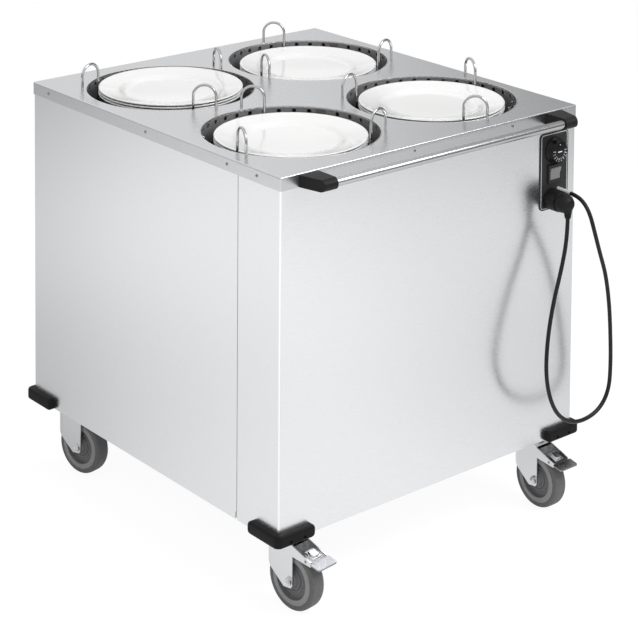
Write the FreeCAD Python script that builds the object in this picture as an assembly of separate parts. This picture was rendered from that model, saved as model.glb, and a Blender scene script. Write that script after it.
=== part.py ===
"""Heated four-tube plate dispenser on castors.

Millimetres. +Z up, floor at z = 0, -Y is the operator's side with the handle
and the control panel, +X is the operator's right. The origin is on the floor,
under the middle of the overall box.
"""
import FreeCAD
import Part
import math
import os
from FreeCAD import Vector

# Plates: three in each tube, with the top rim's height over the deck in each tube
PLATE_RADIUS = 163.0
PLATE_HEIGHT = 20.0
PLATE_RIM = 4.0
PLATE_BASE = 6.0
PLATE_FOOT_INSET = 68.0
PLATE_WELL_INSET = 60.0
PLATE_COUNT = 3
RIM_RISE_FRONT_LEFT = -6.0
RIM_RISE_REAR_LEFT = 6.0
RIM_RISE_REAR_RIGHT = -7.0
RIM_RISE_FRONT_RIGHT = -3.0

# Plate wells
WELL_GAP = 26.0
WELL_BRIDGE_X = 24.0
WELL_BRIDGE_Y = 54.0
WELL_LIP = 4.0
FIT_GAP = 0.1
COLLAR_SHEET = 1.5
COLLAR_DEPTH = 50.0
COLLAR_HOLES = 36
COLLAR_HOLE_SIZE = 9.0
COLLAR_HOLE_DROP = 11.0

# Cabinet
DECK_MARGIN_X = 28.0
DECK_MARGIN_Y = 46.5
DECK_TOP = 900.0
DECK_SHEET = 1.5
DECK_FLANGE = 28.0
DECK_EDGE_RADIUS = 3.0
PANEL_SHEET = 1.2
PANEL_DROP = 3.0
PANEL_TUCK = 4.0
CORNER_BEND = 4.0
FRONT_RETURN = 135.0
SEAM_GAP = 0.6
SEAM_NOTCH_HEIGHT = 16.0
SEAM_NOTCH_WIDTH = 4.0
TRAY_SHEET = 2.0
TRAY_LIP = 25.0
POST_LEG = 25.0
POST_SHEET = 2.0

# Platforms and springs
PLATFORM_INSET = 13.0
PLATFORM_SHEET = 3.0
LEG_LENGTH = 250.0
LEG_WIDTH = 22.0
LEG_SHEET = 4.0
RING_INSET = 22.0
RING_OVERHANG = 10.0
RING_SHEET = 4.0
TAB_WIDTH = 52.0
TAB_GAP = 2.0
SPRING_INSET = 8.0
SPRING_RADIUS = 5.5
SPRING_WIRE = 1.2
SPRING_HOOK_RISE = 12.0
SPRING_TAB_RISE = 8.0
SPRING_EYE = 2.5
SPRING_BEAD = 3.5
SPRING_HALF_ANGLE = 5.0

# Wire plate guides
GUIDE_WIRE = 3.0
GUIDE_PIVOT_INSET = 10.0
GUIDE_PLATE_GAP = 6.5
GUIDE_LAG = 13.0
GUIDE_RISE = 25.0
GUIDE_STUB = 20.0
GUIDE_BEND = 7.0
GUIDE_FOOT_RISE = 10.0
PIVOT_CLEARANCE = 0.05
GUIDE_START = {"front_left": 84.0, "rear_left": 264.0, "rear_right": 84.0, "front_right": 264.0}

# Ring heaters
HEATER_INSET = 25.0
HEATER_TUBE = 4.0
HEATER_RISE = 14.0
HEATER_FOOT = 3.0

# Bumpers
BUMPER_DROP = 3.0
BUMPER_HEIGHT = 26.0
BUMPER_THICKNESS = 15.0
BUMPER_ARM = 84.0
BUMPER_CORNER = 14.0
BUMPER_END = 9.0
BUMPER_SCREW = 3.0
BUMPER_SCREW_DEPTH = 4.0
BUMPER_SCREW_NEAR = 20.0
BUMPER_SCREW_FAR = 56.0

# Handle
HANDLE_RADIUS = 9.0
HANDLE_STANDOFF = 50.0
HANDLE_DROP = 15.5
BRACKET_NOSE = 12.5
BRACKET_INSET = 96.0
BRACKET_WIDTH = 50.0
BRACKET_TAPER = 15.0
BRACKET_BORE_DEPTH = 16.0
BRACKET_EDGE = 1.0

# Control panel, placed from the cabinet's right side and the deck
CONTROL_INSET = 67.0
CONTROL_DROP = 133.5
CONTROL_WIDTH = 87.0
CONTROL_HEIGHT = 170.0
CONTROL_SHEET = 2.0
CONTROL_CORNER = 10.0
WINDOW_MARGIN = 7.0
KNOB_RISE = 44.5
KNOB_SKIRT_RADIUS = 29.0
KNOB_SKIRT = 5.0
KNOB_RADIUS = 25.0
KNOB_TIP_RADIUS = 23.5
KNOB_DEPTH = 17.0
KNOB_EDGE = 1.5
KNOB_GAP = 0.5
SPINDLE_RADIUS = 3.0
SPINDLE_HOLE = 4.0
SPINDLE_LENGTH = 26.0
THERMOSTAT_BOSS = 8.0
THERMOSTAT_SIZE = 38.0
THERMOSTAT_DEPTH = 24.0
THERMOSTAT_BOSS_LENGTH = 10.0
SWITCH_DROP = 6.5
SWITCH_WIDTH = 42.0
SWITCH_HEIGHT = 40.0
SWITCH_FRAME = 5.0
SWITCH_BODY = 16.0
SWITCH_WALL = 1.5
ROCKER_RADIUS = 13.5
ROCKER_LENGTH = 32.0
ROCKER_GAP = 0.4
ROCKER_DISH = 3.5
ROCKER_DISH_ANGLE = 8.0
ROCKER_REST_TILT = 8.0
ROCKER_PIN = 1.5
ROCKER_PIN_LENGTH = 1.2
SOCKET_OFFSET = 11.0
SOCKET_DROP = 61.0
SOCKET_RADIUS = 23.0
SOCKET_DEPTH = 31.0
SOCKET_BORE = 19.5
SOCKET_BORE_DEPTH = 20.0
BOX_WALL = 1.2
BOX_DEPTH = 52.0
BOX_LEFT_REACH = 41.5
BOX_RIGHT_REACH = 36.5
BOX_MARGIN = 3.0

# Mains lead
GLAND_OFFSET = 13.5
GLAND_DROP = 45.5
GLAND_LENGTH = 38.0
GLAND_ROOT_RADIUS = 5.6
CORD_RADIUS = 4.5
CORD_GAP = 0.6
PLUG_RADIUS = 21.5
PLUG_SHOULDER = 12.0
PLUG_DEPTH = 32.0
PLUG_TIP_RADIUS = 12.0
PLUG_TAIL_ROOT = 9.0
PLUG_TAIL_TIP = 6.0
PLUG_TAIL_DROP = 31.0
PLUG_TAIL_AT = 22.0
PLUG_PIN_RADIUS = 2.4
PLUG_PIN_LENGTH = 17.0
PLUG_PIN_PITCH = 19.0

# Castors
CASTOR_INSET_X = 66.0
CASTOR_INSET_Y = 64.0
CASTOR_TRAIL = 36.0
CASTOR_ANGLE_FRONT_LEFT = 7.0
CASTOR_ANGLE_REAR_LEFT = 11.5
CASTOR_ANGLE_REAR_RIGHT = 0.0
CASTOR_ANGLE_FRONT_RIGHT = 0.0
WHEEL_RADIUS = 62.5
WHEEL_CLEARANCE = 15.0
TYRE_WIDTH = 34.0
TYRE_CROWN = 3.0
TYRE_SHOULDER = 4.0
TYRE_DEPTH = 14.5
HUB_RIM = 8.0
HUB_RECESS_INNER = 19.0
HUB_RECESS_SLOPE = 3.0
HUB_WEB = 12.0
HUB_BOSS_WIDTH = 38.0
HUB_BOSS_RADIUS = 15.0
AXLE_RADIUS = 6.0
AXLE_HEAD_RADIUS = 9.0
AXLE_HEAD = 5.0
FORK_GAP = 41.0
FORK_SHEET = 3.0
FORK_BACK = 10.5
FORK_CAP = 8.7
FORK_CAP_RADIUS = 31.0
FORK_CAP_TAPER = 3.0
FORK_FRONT = 10.0
FORK_ROOF = 10.0
FORK_FOOT = 10.5
FORK_CHAMFER = 4.0
FORK_REAR_DROP = 38.0
FORK_HEEL = 22.0
HORN_END = 15.0
HORN_HALF = 5.0
HORN_CLEAR = 20.0
CASTOR_PLATE_X = 84.0
CASTOR_PLATE_Y = 104.0
CASTOR_PLATE_SHEET = 4.0
RACEWAY_HEIGHT = 8.0
RACEWAY_GAP = 0.3
KINGPIN_RADIUS = 6.0
PEDAL_PIVOT_REACH = 46.0
PEDAL_PIVOT_DROP = 24.0
PEDAL_PIN = 3.0
PEDAL_BOSS = 5.0
PEDAL_SHEET = 3.0
PEDAL_SIDE_GAP = 0.6
PEDAL_REAR_REACH = 12.0
PEDAL_REAR_DROP = 6.0
PEDAL_KNEE_REACH = 62.5
PEDAL_KNEE_DROP = 23.0
PEDAL_TIP_REACH = 86.0
PEDAL_LIP_WIDTH = 54.0
PEDAL_LIP_FALL = 4.5

# Worked-out sizes: the plate sets the wells, and the wells set the deck
WELL_RADIUS = PLATE_RADIUS + WELL_GAP
WELL_PITCH_X = 2 * WELL_RADIUS + WELL_BRIDGE_X
WELL_PITCH_Y = 2 * WELL_RADIUS + WELL_BRIDGE_Y
DECK_WIDTH = WELL_PITCH_X + 2 * (WELL_RADIUS + DECK_MARGIN_X)
DECK_DEPTH = WELL_PITCH_Y + 2 * (WELL_RADIUS + DECK_MARGIN_Y)
PLATE_FOOT_RADIUS = PLATE_RADIUS - PLATE_FOOT_INSET
PLATE_WELL_RADIUS = PLATE_RADIUS - PLATE_WELL_INSET
PLATFORM_RADIUS = PLATE_RADIUS - PLATFORM_INSET
RING_INNER = PLATFORM_RADIUS - RING_INSET
RING_OUTER = PLATFORM_RADIUS + RING_OVERHANG
TAB_REACH = WELL_RADIUS - TAB_GAP
SPRING_CIRCLE = WELL_RADIUS - SPRING_INSET
GUIDE_OUTER_CIRCLE = WELL_RADIUS + GUIDE_PIVOT_INSET
GUIDE_INNER_CIRCLE = PLATE_RADIUS + GUIDE_PLATE_GAP
HEATER_CIRCLE = PLATFORM_RADIUS - HEATER_INSET
PANEL_X = DECK_WIDTH / 2 - DECK_SHEET
PANEL_Y = DECK_DEPTH / 2 - DECK_SHEET
DECK_UNDER = DECK_TOP - DECK_SHEET

# The wheel sets how high the cabinet stands
RIM_RADIUS = WHEEL_RADIUS - TYRE_DEPTH
HUB_RECESS_OUTER = RIM_RADIUS - HUB_RIM
FORK_TOP = 2 * WHEEL_RADIUS + WHEEL_CLEARANCE + FORK_SHEET
RACEWAY_Z = FORK_TOP + FORK_CAP + RACEWAY_GAP
CASTOR_PLATE_Z = RACEWAY_Z + RACEWAY_HEIGHT
TRAY_FLOOR = CASTOR_PLATE_Z + CASTOR_PLATE_SHEET
TRAY_TOP = TRAY_FLOOR + TRAY_SHEET
PANEL_BOTTOM = TRAY_FLOOR - PANEL_DROP
BUMPER_BOTTOM = PANEL_BOTTOM - BUMPER_DROP
PEDAL_PIVOT = (-CASTOR_TRAIL - PEDAL_PIVOT_REACH, FORK_TOP - PEDAL_PIVOT_DROP)
PEDAL_REAR = (-CASTOR_TRAIL - PEDAL_REAR_REACH, FORK_TOP - PEDAL_REAR_DROP)
PEDAL_KNEE = (-CASTOR_TRAIL - PEDAL_KNEE_REACH, FORK_TOP - PEDAL_KNEE_DROP)
PEDAL_REACH = CASTOR_TRAIL + PEDAL_TIP_REACH
SWIVEL_X = DECK_WIDTH / 2 - CASTOR_INSET_X
SWIVEL_Y = DECK_DEPTH / 2 - CASTOR_INSET_Y

HANDLE_Y = -DECK_DEPTH / 2 - HANDLE_STANDOFF
HANDLE_AXIS_Z = DECK_TOP - HANDLE_DROP
BRACKET_INNER_X = DECK_WIDTH / 2 - BRACKET_INSET
CONTROL_X = PANEL_X - CONTROL_INSET
CONTROL_Z = DECK_TOP - CONTROL_DROP
CONTROL_FACE = -PANEL_Y - CONTROL_SHEET
KNOB_Z = CONTROL_Z + KNOB_RISE
SWITCH_Z = CONTROL_Z - SWITCH_DROP
SOCKET_X = CONTROL_X - SOCKET_OFFSET
SOCKET_Z = CONTROL_Z - SOCKET_DROP
GLAND_X = CONTROL_X + GLAND_OFFSET
GLAND_Z = CONTROL_Z - GLAND_DROP
BOX_LEFT = CONTROL_X - BOX_LEFT_REACH
BOX_RIGHT = CONTROL_X + BOX_RIGHT_REACH
FRONT_REACH = max(SWIVEL_Y + PEDAL_REACH, DECK_DEPTH / 2 + HANDLE_STANDOFF + BRACKET_NOSE)
REAR_REACH = PANEL_Y + BUMPER_THICKNESS
SHIFT_Y = (FRONT_REACH - REAR_REACH) / 2

TOP_RIM_RISE = {
    "front_left": RIM_RISE_FRONT_LEFT,
    "rear_left": RIM_RISE_REAR_LEFT,
    "rear_right": RIM_RISE_REAR_RIGHT,
    "front_right": RIM_RISE_FRONT_RIGHT,
}
WELLS = {
    "front_left": Vector(-WELL_PITCH_X / 2, -WELL_PITCH_Y / 2, 0),
    "rear_left": Vector(-WELL_PITCH_X / 2, WELL_PITCH_Y / 2, 0),
    "rear_right": Vector(WELL_PITCH_X / 2, WELL_PITCH_Y / 2, 0),
    "front_right": Vector(WELL_PITCH_X / 2, -WELL_PITCH_Y / 2, 0),
}
SWIVELS = {
    "front_left": Vector(-SWIVEL_X, -SWIVEL_Y, 0),
    "rear_left": Vector(-SWIVEL_X, SWIVEL_Y, 0),
    "rear_right": Vector(SWIVEL_X, SWIVEL_Y, 0),
    "front_right": Vector(SWIVEL_X, -SWIVEL_Y, 0),
}
CASTOR_ANGLES = {
    "front_left": CASTOR_ANGLE_FRONT_LEFT,
    "rear_left": CASTOR_ANGLE_REAR_LEFT,
    "rear_right": CASTOR_ANGLE_REAR_RIGHT,
    "front_right": CASTOR_ANGLE_FRONT_RIGHT,
}
BRAKED = ("front_left", "front_right")
UP = Vector(0, 0, 1)
RIGHT = Vector(1, 0, 0)
BACK = Vector(0, 1, 0)

# The hanging lead between the gland's end and the plug's tail: X from the
# control panel's middle, distance in front of the panel, drop below its middle
CORD_HANG = [
    (13.5, 58.0, 47.0),
    (13.0, 79.5, 57.3),
    (14.0, 95.0, 77.5),
    (19.9, 103.0, 113.5),
    (43.3, 99.0, 168.9),
    (70.8, 92.0, 223.8),
    (90.9, 85.0, 291.9),
    (104.5, 78.0, 360.1),
    (114.5, 72.0, 441.1),
    (114.1, 68.0, 506.0),
    (80.1, 67.0, 543.4),
    (13.2, 72.0, 548.5),
    (-45.2, 78.0, 523.7),
    (-81.5, 80.0, 479.7),
    (-98.4, 78.0, 415.2),
    (-88.0, 71.0, 340.8),
    (-65.7, 65.0, 266.0),
    (-35.2, 60.0, 196.2),
    (-15.2, 56.0, 135.0),
]


def span(x0, x1, y0, y1, z0, z1):
    """Box between two corners."""
    return Part.makeBox(x1 - x0, y1 - y0, z1 - z0, Vector(x0, y0, z0))


def rod(start, end, radius):
    """Round bar between two points."""
    return Part.makeCylinder(radius, (end - start).Length, start, end - start)


def prism(points, along):
    """Straight-sided solid on a closed outline."""
    return Part.Face(Part.makePolygon(points + points[:1])).extrude(along)


def turned(profile, base, axis):
    """Solid of revolution of a closed outline."""
    return Part.Face(Part.makePolygon(profile + profile[:1])).revolve(base, axis, 360)


def rounded_bar(x0, x1, y0, y1, z0, z1, radius):
    """Box with rounded vertical edges."""
    solid = span(x0, x1, y0, y1, z0, z1)
    edges = [e for e in solid.Edges if abs(e.tangentAt(e.FirstParameter).z) > 0.99]
    return solid.makeFillet(radius, edges)


def polar(centre, circle, degrees, z):
    """Point on a circle round a vertical axis."""
    angle = math.radians(degrees)
    return Vector(centre.x + circle * math.cos(angle), centre.y + circle * math.sin(angle), z)


def mirrored(shape):
    """The same shape on the other side of the middle plane."""
    return shape.mirror(Vector(0, 0, 0), RIGHT)


def guide_angles(well):
    """Directions of a well's three guide pivots."""
    return [GUIDE_START[well] + 120 * i for i in range(3)]


def spring_angles(well):
    """Directions of a well's three spring tabs, half way between the guides."""
    return [angle + 60 for angle in guide_angles(well)]


def stack_height():
    """Height of the plates in one tube."""
    return PLATE_HEIGHT + PLATE_BASE * (PLATE_COUNT - 1)


def platform_top(well):
    """Height of a platform under its stack."""
    return DECK_TOP + TOP_RIM_RISE[well] - stack_height()


def spring_ring_top(well):
    """Height of the platform's lower ring, where the springs pull."""
    return platform_top(well) - PLATFORM_SHEET - LEG_LENGTH


def deck_block():
    """Deck's outside with its rounded edge, down to the foot of the skirt."""
    half_x = DECK_WIDTH / 2
    half_y = DECK_DEPTH / 2
    base = DECK_TOP - DECK_FLANGE
    block = span(-half_x, half_x, -half_y, half_y, base, DECK_TOP)
    foot = [e for e in block.Edges if e.BoundBox.ZMax < base + DECK_SHEET]
    rounded = [e for e in block.Edges if not any(e.isSame(f) for f in foot)]
    return block.makeFillet(DECK_EDGE_RADIUS, rounded)


def top_deck():
    """Deck plate with its four openings and the guides' pivot holes."""
    holes = []
    for well, centre in WELLS.items():
        holes.append(Part.makeCylinder(WELL_RADIUS, DECK_SHEET, centre + UP * DECK_UNDER))
        for angle in guide_angles(well):
            foot = polar(centre, GUIDE_OUTER_CIRCLE, angle, DECK_UNDER)
            holes.append(Part.makeCylinder(GUIDE_WIRE + PIVOT_CLEARANCE, DECK_SHEET, foot))
    below = span(-DECK_WIDTH, DECK_WIDTH, -DECK_DEPTH, DECK_DEPTH, 0, DECK_UNDER)
    return deck_block().cut(holes + [below])


def deck_skirt():
    """Turned-down edge of the deck, over the tops of the shells."""
    inside = span(-PANEL_X, PANEL_X, -PANEL_Y, PANEL_Y, 0, DECK_TOP)
    above = span(-DECK_WIDTH, DECK_WIDTH, -DECK_DEPTH, DECK_DEPTH, DECK_UNDER, DECK_TOP + DECK_SHEET)
    return deck_block().cut([inside, above])


def shell_block():
    """Outside of the cabinet's sides, bent corners included."""
    top = DECK_UNDER - PANEL_TUCK
    return rounded_bar(-PANEL_X, PANEL_X, -PANEL_Y, PANEL_Y, PANEL_BOTTOM, top, CORNER_BEND)


def shell_sides():
    """Both shells as one band of sheet, before the seam parts them."""
    inner_x = PANEL_X - PANEL_SHEET
    inner_y = PANEL_Y - PANEL_SHEET
    bend = CORNER_BEND - PANEL_SHEET
    core = rounded_bar(-inner_x, inner_x, -inner_y, inner_y, PANEL_BOTTOM, DECK_TOP, bend)
    return shell_block().cut(core)


def control_window(front, back):
    """Cut-out behind the control panel, between two Y planes."""
    half_x = CONTROL_WIDTH / 2 - WINDOW_MARGIN
    half_z = CONTROL_HEIGHT / 2 - WINDOW_MARGIN
    return span(CONTROL_X - half_x, CONTROL_X + half_x, front, back, CONTROL_Z - half_z, CONTROL_Z + half_z)


def seam_y():
    """Where the front shell ends on the sides."""
    return -PANEL_Y + FRONT_RETURN


def front_shell():
    keep = span(-PANEL_X, PANEL_X, -PANEL_Y, seam_y(), PANEL_BOTTOM, DECK_TOP)
    shell = shell_sides().common(keep)
    return shell.cut(control_window(-PANEL_Y, -PANEL_Y + CORNER_BEND))


def rear_shell():
    start = seam_y() + SEAM_GAP
    shell = shell_sides().common(span(-PANEL_X, PANEL_X, start, PANEL_Y, PANEL_BOTTOM, DECK_TOP))
    notch_end = start + SEAM_NOTCH_WIDTH
    notch_top = PANEL_BOTTOM + SEAM_NOTCH_HEIGHT
    return shell.cut(span(-PANEL_X, PANEL_X, start, notch_end, PANEL_BOTTOM, notch_top))


def base_tray():
    half_x = PANEL_X - PANEL_SHEET
    half_y = PANEL_Y - PANEL_SHEET
    bend = CORNER_BEND - PANEL_SHEET
    tray = rounded_bar(-half_x, half_x, -half_y, half_y, TRAY_FLOOR, TRAY_TOP + TRAY_LIP, bend)
    in_x = half_x - TRAY_SHEET
    in_y = half_y - TRAY_SHEET
    tray = tray.cut(span(-in_x, in_x, -in_y, in_y, TRAY_TOP, TRAY_TOP + TRAY_LIP))
    holes = []
    for well, centre in WELLS.items():
        for angle in guide_angles(well):
            foot = polar(centre, GUIDE_OUTER_CIRCLE, angle, TRAY_FLOOR)
            holes.append(Part.makeCylinder(GUIDE_WIRE + PIVOT_CLEARANCE, TRAY_SHEET, foot))
    return tray.cut(holes)


def frame_posts():
    """Angle irons in the four corners, from the tray to the deck."""
    x = PANEL_X - PANEL_SHEET - TRAY_SHEET
    y = PANEL_Y - PANEL_SHEET - TRAY_SHEET
    post = span(x - POST_LEG, x, y - POST_LEG, y, TRAY_TOP, DECK_UNDER)
    inside = span(x - POST_LEG, x - POST_SHEET, y - POST_LEG, y - POST_SHEET, TRAY_TOP, DECK_UNDER)
    rear_right = post.cut(inside)
    front_right = rear_right.mirror(Vector(0, 0, 0), BACK)
    posts = [rear_right, front_right]
    return Part.makeCompound(posts + [mirrored(p) for p in posts])


def spring_collars():
    """Perforated rings under the openings, where the springs are hooked in, with a rolled top edge."""
    inner = WELL_RADIUS + DECK_SHEET + FIT_GAP
    hole_z = DECK_TOP - COLLAR_HOLE_DROP
    reach = inner + 2 * COLLAR_SHEET
    rings = []
    for well, centre in WELLS.items():
        base = centre + UP * (DECK_TOP - COLLAR_DEPTH)
        height = DECK_UNDER - base.z
        lip = WELL_LIP - DECK_SHEET
        ring = Part.makeCylinder(inner + COLLAR_SHEET, height, base)
        bores = [Part.makeCylinder(inner, height - lip, base), Part.makeCylinder(WELL_RADIUS, height, base)]
        ring = ring.cut(bores)
        first = spring_angles(well)[0] + SPRING_HALF_ANGLE
        holes = []
        for i in range(COLLAR_HOLES):
            punch = hexagon_punch(COLLAR_HOLE_SIZE, reach)
            punch.rotate(Vector(0, 0, 0), UP, first + i * 360 / COLLAR_HOLES)
            punch.translate(Vector(centre.x, centre.y, hole_z))
            holes.append(punch)
        rings.append(ring.cut(holes))
    return Part.makeCompound(rings)


def hexagon_punch(size, reach):
    """Six-sided bar along +X, flat side down, from near the axis to the reach."""
    corner = size / math.sqrt(3)
    start = WELL_RADIUS - size
    points = []
    for i in range(6):
        angle = math.radians(60 * i)
        points.append(Vector(start, corner * math.cos(angle), corner * math.sin(angle)))
    return prism(points, RIGHT * (reach - start))


def plate_profile(base):
    """Section of one plate from its foot up."""
    rim_low = base + PLATE_HEIGHT - PLATE_RIM
    rim_top = base + PLATE_HEIGHT
    well = base + PLATE_BASE
    outline = [(0, base), (PLATE_FOOT_RADIUS, base), (PLATE_RADIUS, rim_low)]
    outline += [(PLATE_RADIUS, rim_top), (PLATE_WELL_RADIUS, well), (0, well)]
    return [Vector(r, 0, z) for r, z in outline]


def plates(well):
    stack = []
    for i in range(PLATE_COUNT):
        base = platform_top(well) + i * PLATE_BASE
        plate = turned(plate_profile(base), Vector(0, 0, 0), UP)
        plate.translate(WELLS[well])
        stack.append(plate)
    return Part.makeCompound(stack)


def platform(well):
    """Plate platform with three legs down to the ring that the springs lift."""
    centre = WELLS[well]
    top = platform_top(well)
    ring_top = spring_ring_top(well)
    ring_base = ring_top - RING_SHEET
    disc = Part.makeCylinder(PLATFORM_RADIUS, PLATFORM_SHEET, centre + UP * (top - PLATFORM_SHEET))
    ring = Part.makeCylinder(RING_OUTER, RING_SHEET, centre + UP * ring_base)
    bodies = [ring]
    eyes = []
    leg_out = PLATFORM_RADIUS - LEG_SHEET
    leg_in = leg_out - LEG_SHEET
    for angle in spring_angles(well):
        tab = span(RING_INNER, TAB_REACH, -TAB_WIDTH / 2, TAB_WIDTH / 2, ring_base, ring_top)
        leg = span(leg_in, leg_out, -LEG_WIDTH / 2, LEG_WIDTH / 2, ring_base, top - PLATFORM_SHEET / 2)
        for piece in (tab, leg):
            piece.rotate(Vector(0, 0, 0), UP, angle)
            piece.translate(centre)
            bodies.append(piece)
        for side in (-1, 1):
            eye = polar(centre, SPRING_CIRCLE, angle + side * SPRING_HALF_ANGLE, ring_base)
            eyes.append(Part.makeCylinder(SPRING_EYE, RING_SHEET, eye))
    eyes.append(Part.makeCylinder(RING_INNER, RING_SHEET, centre + UP * ring_base))
    return disc.fuse(bodies).cut(eyes).removeSplitter()


def one_spring(centre, angle, ring_top):
    """Close-wound extension spring with its top hook and its bottom bead."""
    hole_floor = DECK_TOP - COLLAR_HOLE_DROP - COLLAR_HOLE_SIZE / 2
    hook_z = hole_floor + SPRING_WIRE + FIT_GAP
    coil_top = hook_z - SPRING_HOOK_RISE
    coil_base = ring_top + SPRING_TAB_RISE
    bead_drop = math.sqrt(SPRING_BEAD ** 2 - SPRING_EYE ** 2) + FIT_GAP
    hook_end = WELL_RADIUS + DECK_SHEET + COLLAR_SHEET + 2 * SPRING_WIRE
    axis = [polar(centre, SPRING_CIRCLE, angle, z) for z in (coil_base, coil_top, hook_z)]
    bead = polar(centre, SPRING_CIRCLE, angle, ring_top - RING_SHEET - bead_drop)
    tip = polar(centre, hook_end, angle, hook_z)
    coil = rod(axis[0], axis[1], SPRING_RADIUS)
    wires = [rod(axis[1], axis[2], SPRING_WIRE), rod(axis[2], tip, SPRING_WIRE)]
    wires.append(rod(bead, axis[0], SPRING_WIRE))
    ends = [Part.makeSphere(SPRING_WIRE, axis[2]), Part.makeSphere(SPRING_BEAD, bead)]
    return coil.fuse(wires + ends)


def springs(well):
    solids = []
    for angle in spring_angles(well):
        for side in (-1, 1):
            turn = angle + side * SPRING_HALF_ANGLE
            solids.append(one_spring(WELLS[well], turn, spring_ring_top(well)))
    return Part.makeCompound(solids)


def plate_guide(well, angle):
    """Long wire crank: pivots in the deck and the tray, its other leg steadies the plates."""
    centre = WELLS[well]
    pivot = polar(centre, GUIDE_OUTER_CIRCLE, angle, 0)
    leg = polar(centre, GUIDE_INNER_CIRCLE, angle - GUIDE_LAG, 0)
    reach = (leg - pivot).Length
    across = (leg - pivot).normalize()

    def at(distance, z):
        return pivot + across * distance + UP * z

    arch = DECK_TOP + GUIDE_RISE
    foot = TRAY_TOP + GUIDE_FOOT_RISE
    slant = GUIDE_BEND * (1 - math.sqrt(0.5))
    corners = [
        Part.LineSegment(at(0, DECK_UNDER - GUIDE_STUB), at(0, arch)),
        Part.Arc(at(0, arch), at(reach / 2, arch + reach / 2), at(reach, arch)),
        Part.LineSegment(at(reach, arch), at(reach, foot + GUIDE_BEND)),
        Part.Arc(at(reach, foot + GUIDE_BEND), at(reach - slant, foot + slant),
                 at(reach - GUIDE_BEND, foot)),
        Part.LineSegment(at(reach - GUIDE_BEND, foot), at(GUIDE_BEND, foot)),
        Part.Arc(at(GUIDE_BEND, foot), at(slant, foot - slant), at(0, foot - GUIDE_BEND)),
        Part.LineSegment(at(0, foot - GUIDE_BEND), at(0, TRAY_FLOOR)),
    ]
    path = Part.Wire([c.toShape() for c in corners])
    ring = Part.Wire(Part.makeCircle(GUIDE_WIRE, at(0, DECK_UNDER - GUIDE_STUB), UP))
    return path.makePipeShell([ring], True, False)


def heater_elements():
    """Ring heaters on feet on the base tray, one under each tube."""
    rings = []
    for centre in WELLS.values():
        z = TRAY_TOP + HEATER_RISE
        ring = Part.makeTorus(HEATER_CIRCLE, HEATER_TUBE, centre + UP * z)
        feet = []
        for i in range(3):
            foot = polar(centre, HEATER_CIRCLE, 120 * i, TRAY_TOP)
            feet.append(Part.makeCylinder(HEATER_FOOT, HEATER_RISE, foot))
        rings.append(ring.fuse(feet))
    return Part.makeCompound(rings)


def corner_bumpers():
    """Plastic L blocks round the lower corners, with countersunk screw holes."""
    top = BUMPER_BOTTOM + BUMPER_HEIGHT
    out_x = PANEL_X + BUMPER_THICKNESS
    out_y = PANEL_Y + BUMPER_THICKNESS
    in_x = PANEL_X - BUMPER_ARM
    in_y = PANEL_Y - BUMPER_ARM
    block = span(in_x, out_x, in_y, out_y, BUMPER_BOTTOM, top)
    outer_edge = [e for e in block.Edges if e.BoundBox.XMin > out_x - 1 and e.BoundBox.YMin > out_y - 1]
    block = block.makeFillet(BUMPER_CORNER, [e for e in outer_edge if e.Length > BUMPER_HEIGHT - 1])
    block = block.cut(span(in_x, PANEL_X, in_y, PANEL_Y, BUMPER_BOTTOM, top))
    ends = []
    for e in block.Edges:
        box = e.BoundBox
        at_x_end = box.XMax < in_x + 0.1 and box.YLength > BUMPER_THICKNESS - 1
        at_y_end = box.YMax < in_y + 0.1 and box.XLength > BUMPER_THICKNESS - 1
        if at_x_end or at_y_end:
            ends.append(e)
    block = block.makeFillet(BUMPER_END, ends)
    hole_z = BUMPER_BOTTOM + BUMPER_HEIGHT / 3
    for at in (BUMPER_SCREW_NEAR, BUMPER_SCREW_FAR):
        start = Vector(PANEL_X - at, out_y - BUMPER_SCREW_DEPTH, hole_z)
        block = block.cut(rod(start, start + BACK * BUMPER_SCREW_DEPTH, BUMPER_SCREW))
    pair = [block, block.mirror(Vector(0, 0, 0), BACK)]
    return Part.makeCompound(pair + [mirrored(b) for b in pair])


def handle_bar():
    end = BRACKET_INNER_X + BRACKET_BORE_DEPTH
    return rod(Vector(-end, HANDLE_Y, HANDLE_AXIS_Z), Vector(end, HANDLE_Y, HANDLE_AXIS_Z), HANDLE_RADIUS)


def handle_brackets():
    """Moulded brackets with a round nose, tapered on their outer side."""
    face = -DECK_DEPTH / 2
    low = HANDLE_AXIS_Z - BRACKET_NOSE
    outer = BRACKET_INNER_X + BRACKET_WIDTH
    block = span(BRACKET_INNER_X, outer, HANDLE_Y, face, low, HANDLE_AXIS_Z + BRACKET_NOSE)
    start = Vector(BRACKET_INNER_X, HANDLE_Y, HANDLE_AXIS_Z)
    block = block.fuse(rod(start, start + RIGHT * BRACKET_WIDTH, BRACKET_NOSE)).removeSplitter()
    nose = HANDLE_Y - BRACKET_NOSE
    shave = [Vector(outer, face, low), Vector(outer + 1, face, low), Vector(outer + 1, nose, low)]
    shave.append(Vector(outer - BRACKET_TAPER, nose, low))
    block = block.cut(prism(shave, UP * 2 * BRACKET_NOSE))
    upper = []
    for e in block.Edges:
        box = e.BoundBox
        along_nose = box.ZMin > HANDLE_AXIS_Z + BRACKET_NOSE - 0.1 and box.YLength > BRACKET_NOSE
        if along_nose and box.XMin > BRACKET_INNER_X + 1:
            upper.append(e)
    bore = rod(start, start + RIGHT * BRACKET_BORE_DEPTH, HANDLE_RADIUS + PIVOT_CLEARANCE)
    block = block.makeChamfer(BRACKET_EDGE, upper).cut(bore)
    return Part.makeCompound([block, mirrored(block)])


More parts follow.
